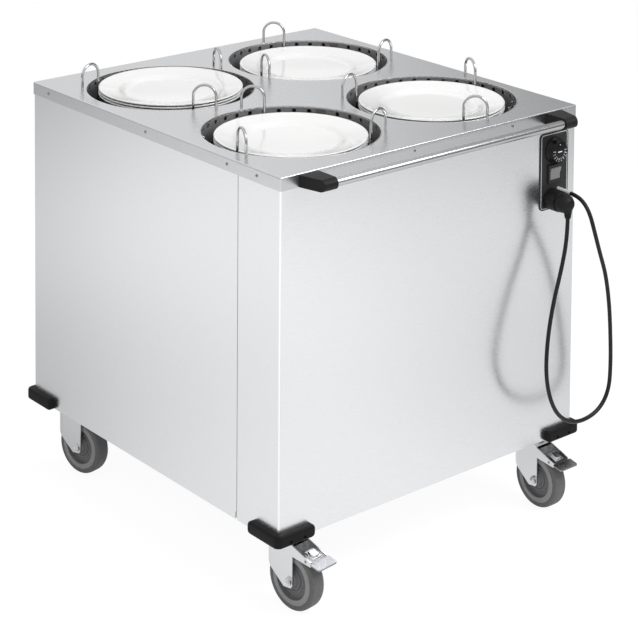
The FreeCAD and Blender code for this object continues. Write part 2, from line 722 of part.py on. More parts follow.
def control_panel():
    half_x = CONTROL_WIDTH / 2
    half_z = CONTROL_HEIGHT / 2
    plate = span(CONTROL_X - half_x, CONTROL_X + half_x, CONTROL_FACE, -PANEL_Y,
                 CONTROL_Z - half_z, CONTROL_Z + half_z)
    corners = [e for e in plate.Edges if e.BoundBox.YLength > CONTROL_SHEET - 0.1]
    plate = plate.makeFillet(CONTROL_CORNER, corners)
    spindle = Vector(CONTROL_X, CONTROL_FACE, KNOB_Z)
    plate = plate.cut(rod(spindle, spindle + BACK * CONTROL_SHEET, SPINDLE_HOLE))
    return plate.cut(switch_body_block(CONTROL_FACE, -PANEL_Y))


def rocker_half():
    """Half width and half height of the pocket that the rocker turns in."""
    return ROCKER_LENGTH / 2 + ROCKER_GAP, ROCKER_RADIUS + ROCKER_GAP


def switch_body_block(front, back):
    """The switch's rear body between two Y planes."""
    half_x, half_z = rocker_half()
    x = half_x + SWITCH_WALL
    z = half_z + SWITCH_WALL
    return span(CONTROL_X - x, CONTROL_X + x, front, back, SWITCH_Z - z, SWITCH_Z + z)


def rocker_pivot():
    """Middle of the rocker's pivot axis, in the panel's plane."""
    return Vector(CONTROL_X, CONTROL_FACE, SWITCH_Z)


def switch_housing():
    front = CONTROL_FACE - SWITCH_FRAME
    x = SWITCH_WIDTH / 2
    z = SWITCH_HEIGHT / 2
    frame = span(CONTROL_X - x, CONTROL_X + x, front, CONTROL_FACE, SWITCH_Z - z, SWITCH_Z + z)
    corners = [e for e in frame.Edges if e.BoundBox.YLength > SWITCH_FRAME - 0.1]
    frame = frame.makeFillet(SWITCH_WALL, corners)
    frame = frame.fuse(switch_body_block(CONTROL_FACE, CONTROL_FACE + SWITCH_BODY))
    half_x, half_z = rocker_half()
    back = CONTROL_FACE + ROCKER_RADIUS + ROCKER_GAP
    pocket = span(CONTROL_X - half_x, CONTROL_X + half_x, front, back, SWITCH_Z - half_z, SWITCH_Z + half_z)
    pin = RIGHT * (ROCKER_LENGTH / 2 + ROCKER_PIN_LENGTH)
    pin_hole = rod(rocker_pivot() - pin, rocker_pivot() + pin, ROCKER_PIN + PIVOT_CLEARANCE)
    return frame.cut([pocket, pin_hole]).removeSplitter()


def switch_rocker():
    """Dished rocker: a round bar whose front is cut back to two flats, tilted to off."""
    pivot = rocker_pivot()
    half = RIGHT * (ROCKER_LENGTH / 2)
    pin = half + RIGHT * (ROCKER_PIN_LENGTH - ROCKER_GAP / 2)
    bar = rod(pivot - half, pivot + half, ROCKER_RADIUS)
    rise = ROCKER_RADIUS * math.tan(math.radians(ROCKER_DISH_ANGLE))
    start = pivot - half
    outline = [(-ROCKER_DISH, 0), (-ROCKER_DISH - rise, ROCKER_RADIUS)]
    outline += [(-2 * ROCKER_RADIUS, ROCKER_RADIUS), (-2 * ROCKER_RADIUS, -ROCKER_RADIUS)]
    outline += [(-ROCKER_DISH - rise, -ROCKER_RADIUS)]
    waste = prism([start + Vector(0, y, z) for y, z in outline], half * 2)
    rocker = bar.cut(waste).fuse(rod(pivot - pin, pivot + pin, ROCKER_PIN))
    rocker.rotate(pivot, RIGHT, ROCKER_REST_TILT)
    return rocker


def thermostat():
    """Thermostat body on the back of the panel, bored for the knob's spindle."""
    start = Vector(CONTROL_X, -PANEL_Y, KNOB_Z)
    rear = start + BACK * THERMOSTAT_BOSS_LENGTH
    half = THERMOSTAT_SIZE / 2
    body = span(rear.x - half, rear.x + half, rear.y, rear.y + THERMOSTAT_DEPTH,
                rear.z - half, rear.z + half)
    body = body.fuse(rod(start, rear, THERMOSTAT_BOSS))
    return body.cut(rod(start, start + BACK * SPINDLE_LENGTH, SPINDLE_RADIUS + PIVOT_CLEARANCE))


def thermostat_knob():
    """Skirted knob with a flat dial face and the spindle that it turns."""
    face = CONTROL_FACE - KNOB_GAP
    tip = face - KNOB_DEPTH
    outline = [(0, face), (KNOB_SKIRT_RADIUS, face), (KNOB_SKIRT_RADIUS, face - KNOB_SKIRT / 2)]
    outline += [(KNOB_RADIUS, face - KNOB_SKIRT), (KNOB_TIP_RADIUS, tip + KNOB_EDGE)]
    outline += [(KNOB_TIP_RADIUS - KNOB_EDGE, tip), (0, tip)]
    centre = Vector(CONTROL_X, 0, KNOB_Z)
    knob = turned([centre + Vector(r, y, 0) for r, y in outline], centre, BACK)
    start = Vector(CONTROL_X, face - KNOB_SKIRT, KNOB_Z)
    end = Vector(CONTROL_X, -PANEL_Y + SPINDLE_LENGTH - KNOB_GAP, KNOB_Z)
    return knob.fuse(rod(start, end, SPINDLE_RADIUS))


def parking_socket():
    """Dummy socket that holds the plug while the dispenser is moved."""
    start = Vector(SOCKET_X, CONTROL_FACE, SOCKET_Z)
    front = start - BACK * SOCKET_DEPTH
    cup = rod(front, start, SOCKET_RADIUS)
    return cup.cut(rod(front, front + BACK * SOCKET_BORE_DEPTH, SOCKET_BORE))


def electrical_box():
    """Open-fronted sheet box behind the panel, on the inside of the front shell."""
    front = -PANEL_Y + PANEL_SHEET
    back = front + BOX_DEPTH
    low = CONTROL_Z - CONTROL_HEIGHT / 2 + BOX_MARGIN
    high = CONTROL_Z + CONTROL_HEIGHT / 2 - BOX_MARGIN
    box = span(BOX_LEFT, BOX_RIGHT, front, back, low, high)
    inside = (BOX_LEFT + BOX_WALL, BOX_RIGHT - BOX_WALL, front, back - BOX_WALL)
    return box.cut(span(*inside, low + BOX_WALL, high - BOX_WALL))


def cable_gland():
    """Tapered sleeve where the lead leaves the panel."""
    start = Vector(GLAND_X, CONTROL_FACE, GLAND_Z)
    return Part.makeCone(GLAND_ROOT_RADIUS, CORD_RADIUS, GLAND_LENGTH, start, -BACK)


def mains_plug():
    """Right-angle plug parked in the socket, its tail pointing down."""
    seat = CONTROL_FACE - SOCKET_DEPTH
    shoulder = seat - PLUG_SHOULDER
    end = seat - PLUG_DEPTH
    outline = [(0, seat), (PLUG_RADIUS, seat), (PLUG_RADIUS, shoulder)]
    outline += [((PLUG_RADIUS * 2 + PLUG_TIP_RADIUS) / 3, (shoulder + end) / 2)]
    outline += [(PLUG_TIP_RADIUS, end), (0, end)]
    centre = Vector(SOCKET_X, 0, SOCKET_Z)
    body = turned([centre + Vector(r, y, 0) for r, y in outline], centre, BACK)
    tail_top = Vector(SOCKET_X, seat - PLUG_TAIL_AT, SOCKET_Z)
    tail = Part.makeCone(PLUG_TAIL_ROOT, PLUG_TAIL_TIP, PLUG_TAIL_DROP, tail_top, -UP)
    pins = []
    for side in (-1, 1):
        root = Vector(SOCKET_X + side * PLUG_PIN_PITCH / 2, seat, SOCKET_Z)
        pins.append(rod(root, root + BACK * PLUG_PIN_LENGTH, PLUG_PIN_RADIUS))
    return body.fuse([tail] + pins)


def cord_points():
    """Corners of the lead's route, from the gland round the hanging loop to the plug's tail."""
    route = [Vector(GLAND_X, CONTROL_FACE - GLAND_LENGTH - CORD_GAP, GLAND_Z)]
    for x, out, drop in CORD_HANG:
        route.append(Vector(CONTROL_X + x, CONTROL_FACE - out, CONTROL_Z - drop))
    tail = SOCKET_Z - PLUG_TAIL_DROP - CORD_GAP
    route.append(Vector(SOCKET_X, CONTROL_FACE - SOCKET_DEPTH - PLUG_TAIL_AT, tail))
    return route


def mains_cord():
    """Tube along straight runs joined by tangent arcs as large as the runs allow."""
    points = cord_points()
    edges = []
    last = points[0]
    for before, corner, after in zip(points, points[1:], points[2:]):
        to_prev = (before - corner).normalize()
        to_next = (after - corner).normalize()
        turn = math.pi - to_prev.getAngle(to_next)
        shorter = min((before - corner).Length, (after - corner).Length)
        setback = 0.45 * shorter
        radius = setback / math.tan(turn / 2)
        print("cord radius", round(radius, 1))
        first = corner + to_prev * setback
        second = corner + to_next * setback
        inward = (to_prev + to_next).normalize()
        centre_distance = radius / math.cos(turn / 2)
        middle = corner + inward * (centre_distance - radius)
        edges.append(Part.LineSegment(last, first).toShape())
        edges.append(Part.Arc(first, middle, second).toShape())
        last = second
    edges.append(Part.LineSegment(last, points[-1]).toShape())
    path = Part.Wire(edges)
    ring = Part.Wire(Part.makeCircle(CORD_RADIUS, points[0], points[1] - points[0]))
    cord = path.makePipeShell([ring], True, False)
    section = math.pi * CORD_RADIUS ** 2
    print("cord length", round(path.Length, 1), "filled", round(cord.Volume / (section * path.Length), 4))
    return cord


def castor_plates():
    """Top plates with the upper half of each swivel raceway."""
    solids = []
    for centre in SWIVELS.values():
        half_x = CASTOR_PLATE_X / 2
        half_y = CASTOR_PLATE_Y / 2
        plate = rounded_bar(centre.x - half_x, centre.x + half_x, centre.y - half_y, centre.y + half_y,
                            CASTOR_PLATE_Z, TRAY_FLOOR, FORK_BACK)
        race = Part.makeCone(FORK_CAP_RADIUS, FORK_CAP_RADIUS + RACEWAY_HEIGHT / 2, RACEWAY_HEIGHT,
                             centre + UP * RACEWAY_Z)
        bore = Part.makeCylinder(KINGPIN_RADIUS + PIVOT_CLEARANCE, TRAY_FLOOR - RACEWAY_Z,
                                 centre + UP * RACEWAY_Z)
        solids.append(plate.fuse(race).cut(bore))
    return Part.makeCompound(solids)


def castored(name, shape):
    """Turn a castor piece about its kingpin to where the castor points, and set it under the cabinet."""
    shape.rotate(Vector(0, 0, 0), UP, CASTOR_ANGLES[name])
    shape.translate(SWIVELS[name])
    return shape


def fork_outline(braked):
    """Side outline of a fork leg, as (Y from the swivel axis, Z)."""
    front = -CASTOR_TRAIL - FORK_FRONT
    foot = WHEEL_RADIUS - FORK_FOOT
    rear = FORK_BACK + FORK_GAP
    heel = -CASTOR_TRAIL + FORK_HEEL
    edge = FORK_CHAMFER
    outline = [(front + edge, foot - edge / 2), (front, foot + edge)]
    if braked:
        pivot_y, pivot_z = PEDAL_PIVOT
        tip = pivot_y - HORN_END
        outline += [(front, pivot_z - HORN_HALF / 2), (tip + edge / 2, pivot_z - HORN_HALF - edge / 2)]
        outline += [(tip, pivot_z + HORN_HALF / 2), (front + edge / 2, FORK_TOP - edge)]
    else:
        outline += [(front - edge / 2, FORK_TOP - 3 * edge)]
    outline += [(front + edge, FORK_TOP), (rear, FORK_TOP), (rear, FORK_TOP - FORK_REAR_DROP)]
    outline += [(heel, foot + edge / 2), (heel - 2 * edge, foot - edge)]
    return outline


def castor_fork(name):
    """Pressed U fork with its cap, kingpin and, as a second solid, the axle bolt."""
    braked = name in BRAKED
    inner = FORK_GAP / 2
    outer = inner + FORK_SHEET
    low = 0.0
    front = PEDAL_PIVOT[0] - HORN_CLEAR
    back = Vector(0, FORK_BACK, low)
    filled = span(-outer, outer, front, FORK_BACK, low, FORK_TOP)
    filled = filled.fuse(Part.makeCylinder(outer, FORK_TOP, back)).removeSplitter()
    hollow = span(-inner, inner, front, FORK_BACK, low, FORK_TOP - FORK_SHEET)
    hollow = hollow.fuse(Part.makeCylinder(inner, FORK_TOP - FORK_SHEET, back)).removeSplitter()
    side = prism([Vector(-outer, y, z) for y, z in fork_outline(braked)], RIGHT * (2 * outer))
    roof_front = span(-outer, outer, front, -CASTOR_TRAIL - FORK_ROOF, FORK_TOP - FORK_SHEET - 0.01, FORK_TOP)
    fork = filled.cut(hollow).common(side).cut(roof_front)
    if braked:
        horn_gap = span(-inner, inner, front, -CASTOR_TRAIL - FORK_ROOF, 0, FORK_TOP)
        fork = fork.cut(horn_gap)
    cap = Part.makeCone(FORK_CAP_RADIUS - FORK_CAP_TAPER, FORK_CAP_RADIUS, FORK_CAP, Vector(0, 0, FORK_TOP))
    kingpin = rod(Vector(0, 0, FORK_TOP), Vector(0, 0, TRAY_FLOOR - RACEWAY_GAP), KINGPIN_RADIUS)
    fork = fork.fuse([cap, kingpin])
    axle = Vector(-outer, -CASTOR_TRAIL, WHEEL_RADIUS)
    holes = [rod(axle, axle + RIGHT * 2 * outer, AXLE_RADIUS)]
    if braked:
        pin = Vector(-outer, PEDAL_PIVOT[0], PEDAL_PIVOT[1])
        holes.append(rod(pin, pin + RIGHT * 2 * outer, PEDAL_PIN + PIVOT_CLEARANCE))
    fork = fork.cut(holes).removeSplitter()
    bolt = rod(axle, axle + RIGHT * 2 * outer, AXLE_RADIUS)
    heads = [rod(axle, axle - RIGHT * AXLE_HEAD, AXLE_HEAD_RADIUS)]
    far = axle + RIGHT * 2 * outer
    heads.append(rod(far, far + RIGHT * AXLE_HEAD, AXLE_HEAD_RADIUS))
    return castored(name, Part.makeCompound([fork, bolt.fuse(heads).removeSplitter()]))


def wheel_turned(name, outline):
    """Turn a wheel outline, given as (X from the wheel's middle, radius), in its castor."""
    axle = Vector(0, -CASTOR_TRAIL, WHEEL_RADIUS)
    return castored(name, turned([axle + Vector(x, 0, r) for x, r in outline], axle, RIGHT))


def castor_tyre(name):
    half = TYRE_WIDTH / 2
    crown = half - TYRE_SHOULDER
    shoulder = WHEEL_RADIUS - TYRE_CROWN
    outline = [(-half, RIM_RADIUS), (-half, shoulder), (-crown, WHEEL_RADIUS), (crown, WHEEL_RADIUS)]
    outline += [(half, shoulder), (half, RIM_RADIUS)]
    return wheel_turned(name, outline)


def castor_hub(name):
    """Moulded hub with a ring recess on both faces and a boss round the axle."""
    half = TYRE_WIDTH / 2
    boss = HUB_BOSS_WIDTH / 2
    web = HUB_WEB / 2
    bore = AXLE_RADIUS + PIVOT_CLEARANCE
    one_side = [(boss, bore), (boss, HUB_BOSS_RADIUS), (web, HUB_RECESS_INNER)]
    one_side += [(web, HUB_RECESS_OUTER), (half, HUB_RECESS_OUTER + HUB_RECESS_SLOPE), (half, RIM_RADIUS)]
    other_side = [(-x, r) for x, r in reversed(one_side)]
    return wheel_turned(name, one_side + other_side)


def brake_pedal(name):
    """Pressed pedal on a cross pin between the fork's horns, with a wide toe lip."""
    half = FORK_GAP / 2 - PEDAL_SIDE_GAP
    lip = PEDAL_LIP_WIDTH / 2
    rear_y, rear_z = PEDAL_REAR
    knee_y, knee_z = PEDAL_KNEE
    plate = prism([Vector(-half, rear_y, rear_z), Vector(-half, knee_y, knee_z),
                   Vector(-half, knee_y, knee_z - PEDAL_SHEET),
                   Vector(-half, rear_y, rear_z - PEDAL_SHEET)], RIGHT * 2 * half)
    toe = prism([Vector(-lip, knee_y, knee_z), Vector(-lip, -PEDAL_REACH, knee_z - PEDAL_LIP_FALL),
                 Vector(-lip, -PEDAL_REACH, knee_z - PEDAL_LIP_FALL - PEDAL_SHEET),
                 Vector(-lip, knee_y, knee_z - PEDAL_SHEET)], RIGHT * 2 * lip)
    edges = [e for e in toe.Edges if e.BoundBox.ZLength < PEDAL_SHEET + 1 and e.BoundBox.XLength < 0.1
             and e.BoundBox.YMax < -PEDAL_REACH + 1]
    toe = toe.makeFillet(PEDAL_BOSS, edges)
    pivot = Vector(-half, PEDAL_PIVOT[0], PEDAL_PIVOT[1])
    boss = rod(pivot, pivot + RIGHT * 2 * half, PEDAL_BOSS)
    slope = (rear_z - knee_z) / (rear_y - knee_y)
    under = knee_z + slope * (PEDAL_PIVOT[0] - knee_y) - PEDAL_SHEET / 2
    neck = span(-half, half, PEDAL_PIVOT[0] - PEDAL_SHEET, PEDAL_PIVOT[0] + PEDAL_SHEET,
                PEDAL_PIVOT[1], under)
    reach = FORK_GAP / 2 + FORK_SHEET
    pin = rod(Vector(-reach, pivot.y, pivot.z), Vector(reach, pivot.y, pivot.z), PEDAL_PIN)
    return castored(name, plate.fuse([toe, boss, neck, pin]).removeSplitter())


def save(name, shape):
    """Write one sub-part, moved to the part's own origin."""
    shape = shape.copy()
    shape.translate(Vector(0, SHIFT_Y, 0))
    shape.exportStep("parts/" + name + ".step")


def main():
    os.makedirs("parts", exist_ok=True)
    for single in (top_deck, deck_skirt, front_shell, rear_shell, base_tray, frame_posts,
                   spring_collars, heater_elements, corner_bumpers, handle_bar, handle_brackets, control_panel,
                   switch_housing, switch_rocker, thermostat, thermostat_knob, parking_socket,
                   electrical_box, cable_gland, mains_plug, mains_cord, castor_plates):
        save(single.__name__, single())
    for well in WELLS:
        save("springs_" + well, springs(well))
        save("platform_" + well, platform(well))
        save("plates_" + well, plates(well))
        for number, angle in enumerate(guide_angles(well), 1):
            save("plate_guide_" + well + "_" + str(number), plate_guide(well, angle))
    for name in SWIVELS:
        save("castor_fork_" + name, castor_fork(name))
        save("castor_tyre_" + name, castor_tyre(name))
        save("castor_hub_" + name, castor_hub(name))
    for name in BRAKED:
        save("brake_pedal_" + name, brake_pedal(name))


main()
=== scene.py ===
"""Looks of the heated plate dispenser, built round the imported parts."""
import math

import bmesh
import bpy
from mathutils import Matrix, Vector


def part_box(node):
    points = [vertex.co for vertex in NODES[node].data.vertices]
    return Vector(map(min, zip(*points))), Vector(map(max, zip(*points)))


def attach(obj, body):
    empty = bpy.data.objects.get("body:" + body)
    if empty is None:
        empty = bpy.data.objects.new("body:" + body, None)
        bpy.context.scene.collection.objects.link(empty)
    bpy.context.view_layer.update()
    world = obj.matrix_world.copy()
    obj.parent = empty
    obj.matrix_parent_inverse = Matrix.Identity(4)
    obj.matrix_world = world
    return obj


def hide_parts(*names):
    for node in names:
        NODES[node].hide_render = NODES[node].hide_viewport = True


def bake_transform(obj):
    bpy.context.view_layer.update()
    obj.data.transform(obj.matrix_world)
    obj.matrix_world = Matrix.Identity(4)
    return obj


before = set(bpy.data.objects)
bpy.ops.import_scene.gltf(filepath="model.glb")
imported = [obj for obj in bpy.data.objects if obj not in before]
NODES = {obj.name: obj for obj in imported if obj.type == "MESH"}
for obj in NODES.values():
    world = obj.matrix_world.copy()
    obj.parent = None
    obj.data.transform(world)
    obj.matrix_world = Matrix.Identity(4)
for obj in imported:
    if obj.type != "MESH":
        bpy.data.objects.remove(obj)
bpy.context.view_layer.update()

# Places, in metres, in the part's own frame
deck_low, deck_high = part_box("top_deck")
MID_Y = (deck_low[1] + deck_high[1]) / 2
DECK_TOP = 0.9
LIP_BOTTOM = 0.8958
FLANGE_X = 0.418
FLANGE_Y = 0.4515
SHEET_FACE_X = 0.4165
CONTROL_FACE_Y = -0.452 + MID_Y
CONTROL_X = 0.3495
CONTROL_Z = 0.7665
KNOB_Z = 0.811
CORNERS = {"front_left": (-1, -1), "rear_left": (-1, 1), "rear_right": (1, 1), "front_right": (1, -1)}
WELL_X = 0.201
WELL_Y = 0.216
PLATFORM_TOP = {"front_left": 0.862, "rear_left": 0.874, "rear_right": 0.861, "front_right": 0.865}
GUIDE_START = {"front_left": 84, "rear_left": 264, "rear_right": 84, "front_right": 264}
SWIVEL_X = 0.352
SWIVEL_Y = 0.3875
CASTOR_ANGLES = {"front_left": 7.0, "rear_left": 11.5, "rear_right": 0.0, "front_right": 0.0}
AXLE = Vector((0, -0.036, 0.0625))
TYRE_SIDE_RADIUS = 0.0504
HUB_RIM_RADIUS = 0.0400
BRAKED = ("front_left", "front_right")
X_AXIS = Vector((1, 0, 0))
Y_AXIS = Vector((0, 1, 0))
Z_AXIS = Vector((0, 0, 1))


def at_corners(x, y):
    """One point of the floor in each quarter of the cabinet."""
    return {name: Vector((side * x, face * y + MID_Y, 0)) for name, (side, face) in CORNERS.items()}


WELLS = at_corners(WELL_X, WELL_Y)
SWIVELS = at_corners(SWIVEL_X, SWIVEL_Y)


# Materials

NOISE_LOW = 0.3
NOISE_HIGH = 0.7
# How much the painted highlight lightens the cabinet's bends
BEND_PAINTED_HIGHLIGHT = 0.34


def new_material(name, colour, metallic=0.0, roughness=0.5):
    """A principled material and its tree."""
    mat = bpy.data.materials.new(name)
    mat.use_nodes = True
    tree = mat.node_tree
    shader = tree.nodes["Principled BSDF"]
    shader.inputs["Base Color"].default_value = (*colour, 1)
    shader.inputs["Metallic"].default_value = metallic
    shader.inputs["Roughness"].default_value = roughness
    return mat, tree, shader


def noise_field(tree, stretch, scale, detail=3.0):
    """Noise in the part's own coordinates, stretched along the grain."""
    place = tree.nodes.new("ShaderNodeTexCoord")
    mapping = tree.nodes.new("ShaderNodeMapping")
    mapping.inputs["Scale"].default_value = stretch
    noise = tree.nodes.new("ShaderNodeTexNoise")
    noise.inputs["Scale"].default_value = scale
    noise.inputs["Detail"].default_value = detail
    tree.links.new(place.outputs["Object"], mapping.inputs["Vector"])
    tree.links.new(mapping.outputs["Vector"], noise.inputs["Vector"])
    return noise.outputs["Fac"]


def ranged(tree, field, low, high):
    """The field, spread from low to high."""
    node = tree.nodes.new("ShaderNodeMapRange")
    node.inputs["From Min"].default_value = NOISE_LOW
    node.inputs["From Max"].default_value = NOISE_HIGH
    node.inputs["To Min"].default_value = low
    node.inputs["To Max"].default_value = high
    tree.links.new(field, node.inputs["Value"])
    return node.outputs["Result"]


def bumped(tree, shader, field, strength, distance):
    """Fine relief that follows the field."""
    node = tree.nodes.new("ShaderNodeBump")
    node.inputs["Strength"].default_value = strength
    node.inputs["Distance"].default_value = distance
    tree.links.new(field, node.inputs["Height"])
    tree.links.new(node.outputs["Normal"], shader.inputs["Normal"])


def shaded(tree, shader, field, dark, light):
    """Base colour between two shades of the field."""
    ramp = tree.nodes.new("ShaderNodeValToRGB")
    ramp.color_ramp.elements[0].position = NOISE_LOW
    ramp.color_ramp.elements[0].color = (*dark, 1)
    ramp.color_ramp.elements[1].position = NOISE_HIGH
    ramp.color_ramp.elements[1].color = (*light, 1)
    tree.links.new(field, ramp.inputs["Fac"])
    tree.links.new(ramp.outputs["Color"], shader.inputs["Base Color"])


def grained(name, colour, metallic, rough, stretch, scale, vary=0.03, bump=0.05, depth=0.0002):
    """Material whose shade, roughness and relief follow one stretched noise."""
    mat, tree, shader = new_material(name, colour, metallic, rough[0])
    field = noise_field(tree, stretch, scale)
    shaded(tree, shader, field, [c * (1 - vary) for c in colour], [c * (1 + vary) for c in colour])
    tree.links.new(ranged(tree, field, rough[0], rough[1]), shader.inputs["Roughness"])
    bumped(tree, shader, field, bump, depth)
    return mat


def combined(tree, operation, first, second):
    """Two numbers, or sockets, put together."""
    node = tree.nodes.new("ShaderNodeMath")
    node.operation = operation
    for socket, value in zip(node.inputs, (first, second)):
        if isinstance(value, (int, float)):
            socket.default_value = value
        else:
            tree.links.new(value, socket)
    return node.outputs["Value"]


def panel_steel():
    """Brushed cabinet sheet, the grain running round the cabinet, its bends lightened by a painted
    highlight.
    """
    mat = grained("panel_steel", (0.786, 0.795, 0.810), 1.0, (0.23, 0.28), (2, 2, 60), 30, 0.004, 0.001)
    tree = mat.node_tree
    shader = tree.nodes["Principled BSDF"]
    tangent = tree.nodes.new("ShaderNodeTangent")
    tangent.direction_type = "RADIAL"
    tangent.axis = "Z"
    tree.links.new(tangent.outputs["Tangent"], shader.inputs["Tangent"])
    # Painted highlight: the base colour grows where the normal turns between front and side, at the bends.
    place = tree.nodes.new("ShaderNodeNewGeometry")
    split = tree.nodes.new("ShaderNodeSeparateXYZ")
    tree.links.new(place.outputs["Normal"], split.inputs["Vector"])
    turned = combined(tree, "MULTIPLY", split.outputs["X"], split.outputs["Y"])
    gain = combined(tree, "MULTIPLY", combined(tree, "ABSOLUTE", turned, 0.0), BEND_PAINTED_HIGHLIGHT)
    bend_highlight = tree.nodes.new("ShaderNodeVectorMath")
    bend_highlight.operation = "SCALE"
    tree.links.new(shader.inputs["Base Color"].links[0].from_socket, bend_highlight.inputs[0])
    tree.links.new(combined(tree, "ADD", gain, 1.0), bend_highlight.inputs["Scale"])
    tree.links.new(bend_highlight.outputs["Vector"], shader.inputs["Base Color"])
    shader.inputs["Anisotropic"].default_value = 0.6
    shader.inputs["Anisotropic Rotation"].default_value = 0.25
    return mat


def deck_steel():
    """Deck sheet, painted lighter on top than on its folded edge: painted light and shade by which way the
    sheet faces.
    """
    mat, tree, shader = new_material("deck_steel", (0.64, 0.645, 0.65), 1.0, 0.28)
    field = noise_field(tree, (60, 1, 60), 22)
    place = tree.nodes.new("ShaderNodeNewGeometry")
    split = tree.nodes.new("ShaderNodeSeparateXYZ")
    tree.links.new(place.outputs["Normal"], split.inputs["Vector"])
    # Painted light and shade: the base colour follows the normal's height, lighter on top, darker on the
    # folded edge.
    ramp = tree.nodes.new("ShaderNodeValToRGB")
    ramp.color_ramp.elements[0].position = 0.2
    ramp.color_ramp.elements[0].color = (0.596, 0.602, 0.613, 1)
    ramp.color_ramp.elements[1].position = 0.9
    ramp.color_ramp.elements[1].color = (0.647, 0.654, 0.667, 1)
    tree.links.new(split.outputs["Z"], ramp.inputs["Fac"])
    tree.links.new(ramp.outputs["Color"], shader.inputs["Base Color"])
    tree.links.new(ranged(tree, field, 0.24, 0.32), shader.inputs["Roughness"])
    bumped(tree, shader, field, 0.004, 0.0002)
    return mat


def collar_steel():
    """Dull collar sheet, darker below, with the rolled lip of the opening at its top painted lighter as a
    painted highlight.
    """
    mat, tree, shader = new_material("collar_steel", (0.55, 0.55, 0.555), 0.6, 0.42)
    place = tree.nodes.new("ShaderNodeTexCoord")
    split = tree.nodes.new("ShaderNodeSeparateXYZ")
    tree.links.new(place.outputs["Object"], split.inputs["Vector"])
    lip = tree.nodes.new("ShaderNodeMapRange")
    lip.inputs["From Min"].default_value = LIP_BOTTOM - 0.0003
    lip.inputs["From Max"].default_value = LIP_BOTTOM
    tree.links.new(split.outputs["Z"], lip.inputs["Value"])
    # Painted highlight on the lip: the base colour turns lighter above the lip's bottom.
    ramp = tree.nodes.new("ShaderNodeValToRGB")
    ramp.color_ramp.elements[0].color = (0.43, 0.43, 0.435, 1)
    ramp.color_ramp.elements[1].color = (0.70, 0.70, 0.705, 1)
    tree.links.new(lip.outputs["Result"], ramp.inputs["Fac"])
    tree.links.new(ramp.outputs["Color"], shader.inputs["Base Color"])
    field = noise_field(tree, (1, 1, 8), 60)
    tree.links.new(ranged(tree, field, 0.32, 0.46), shader.inputs["Roughness"])
    bumped(tree, shader, field, 0.04, 0.0002)
    return mat


def moulded(name, colour, rough, scale, vary=0.1, bump=0.12, shine=0.22):
    """Fine-grained dark moulding with a weak surface shine."""
    mat = grained(name, colour, 0.0, rough, (1, 1, 1), scale, vary, bump)
    mat.node_tree.nodes["Principled BSDF"].inputs["Specular IOR Level"].default_value = shine
    return mat


PANEL_STEEL = panel_steel()
DECK_STEEL = deck_steel()
COLLAR_STEEL = collar_steel()
INNER_STEEL = grained("inner_steel", (0.42, 0.42, 0.425), 1.0, (0.35, 0.5), (1, 1, 20), 30)
BRIGHT_STEEL = grained("bright_steel", (0.54, 0.54, 0.55), 1.0, (0.14, 0.20), (3, 60, 60), 20, 0.02, 0.02)
GUIDE_STEEL = grained("guide_steel", (0.52, 0.52, 0.525), 1.0, (0.10, 0.15), (20, 20, 6), 12, 0.02, 0.005)
RIM_STEEL = grained("rim_steel", (0.66, 0.66, 0.665), 1.0, (0.12, 0.18), (9, 9, 9), 20, 0.02, 0.005)
SPRING_STEEL = grained("spring_steel", (0.6, 0.6, 0.61), 1.0, (0.2, 0.3), (20, 20, 20), 20)
ZINC = grained("zinc_plate", (0.70, 0.705, 0.715), 1.0, (0.20, 0.26), (10, 10, 10), 18, 0.012, 0.003)
# Zinc painted much darker than the forks' zinc: painted shade, for the pedals and the deck rivets
SHADED_ZINC = grained("pedal_zinc_shaded", (0.26, 0.26, 0.27), 1.0, (0.20, 0.28), (10, 10, 10), 14, 0.10, 0.02)
HEATER = grained("heater_tube", (0.30, 0.28, 0.27), 1.0, (0.45, 0.6), (10, 10, 10), 20)
BUMPER = moulded("bumper_plastic", (0.007, 0.007, 0.0075), (0.46, 0.58), 900, 0.12, 0.2, 0.15)
BRACKET = moulded("bracket_plastic", (0.010, 0.010, 0.0105), (0.46, 0.58), 900, 0.12, 0.2, 0.22)
# Painted shade for the open joint between the cabinet's sheets
SEAM_SHADE = moulded("seam_painted_shade", (0.02, 0.02, 0.02), (0.6, 0.7), 600, 0.05, 0.05, 0.1)
PANEL = moulded("panel_plastic", (0.030, 0.030, 0.031), (0.4, 0.5), 1200, 0.08, 0.1)
KNOB = moulded("knob_plastic", (0.006, 0.006, 0.0065), (0.3, 0.42), 900)
ROCKER = moulded("rocker_plastic", (0.23, 0.232, 0.236), (0.28, 0.4), 700, 0.06, 0.08, 0.4)
PLUG = moulded("plug_rubber", (0.009, 0.009, 0.0095), (0.42, 0.55), 700, 0.12, 0.18)
CORD = moulded("cord_rubber", (0.008, 0.008, 0.0085), (0.36, 0.5), 500, 0.12, 0.12, 0.3)
GLAND = moulded("gland_plastic", (0.78, 0.78, 0.79), (0.35, 0.5), 600, 0.04, 0.1, 0.5)
TYRE = moulded("tyre_rubber", (0.150, 0.150, 0.153), (0.5, 0.65), 260, 0.12, 0.15, 0.3)
# Paler copy of the tyre rubber: painted highlight on the flat faces turned to the light
LIT_TYRE_SIDE = moulded("tyre_side_lit", (0.32, 0.32, 0.325), (0.45, 0.6), 300, 0.08, 0.1, 0.35)
HUB = moulded("hub_plastic", (0.185, 0.185, 0.19), (0.42, 0.55), 500, 0.06, 0.1, 0.3)
PRINT = moulded("white_print", (0.85, 0.85, 0.85), (0.5, 0.6), 400, 0.03, 0.02, 0.4)
BORDER = moulded("border_print", (0.60, 0.60, 0.605), (0.4, 0.5), 400, 0.04, 0.02, 0.4)


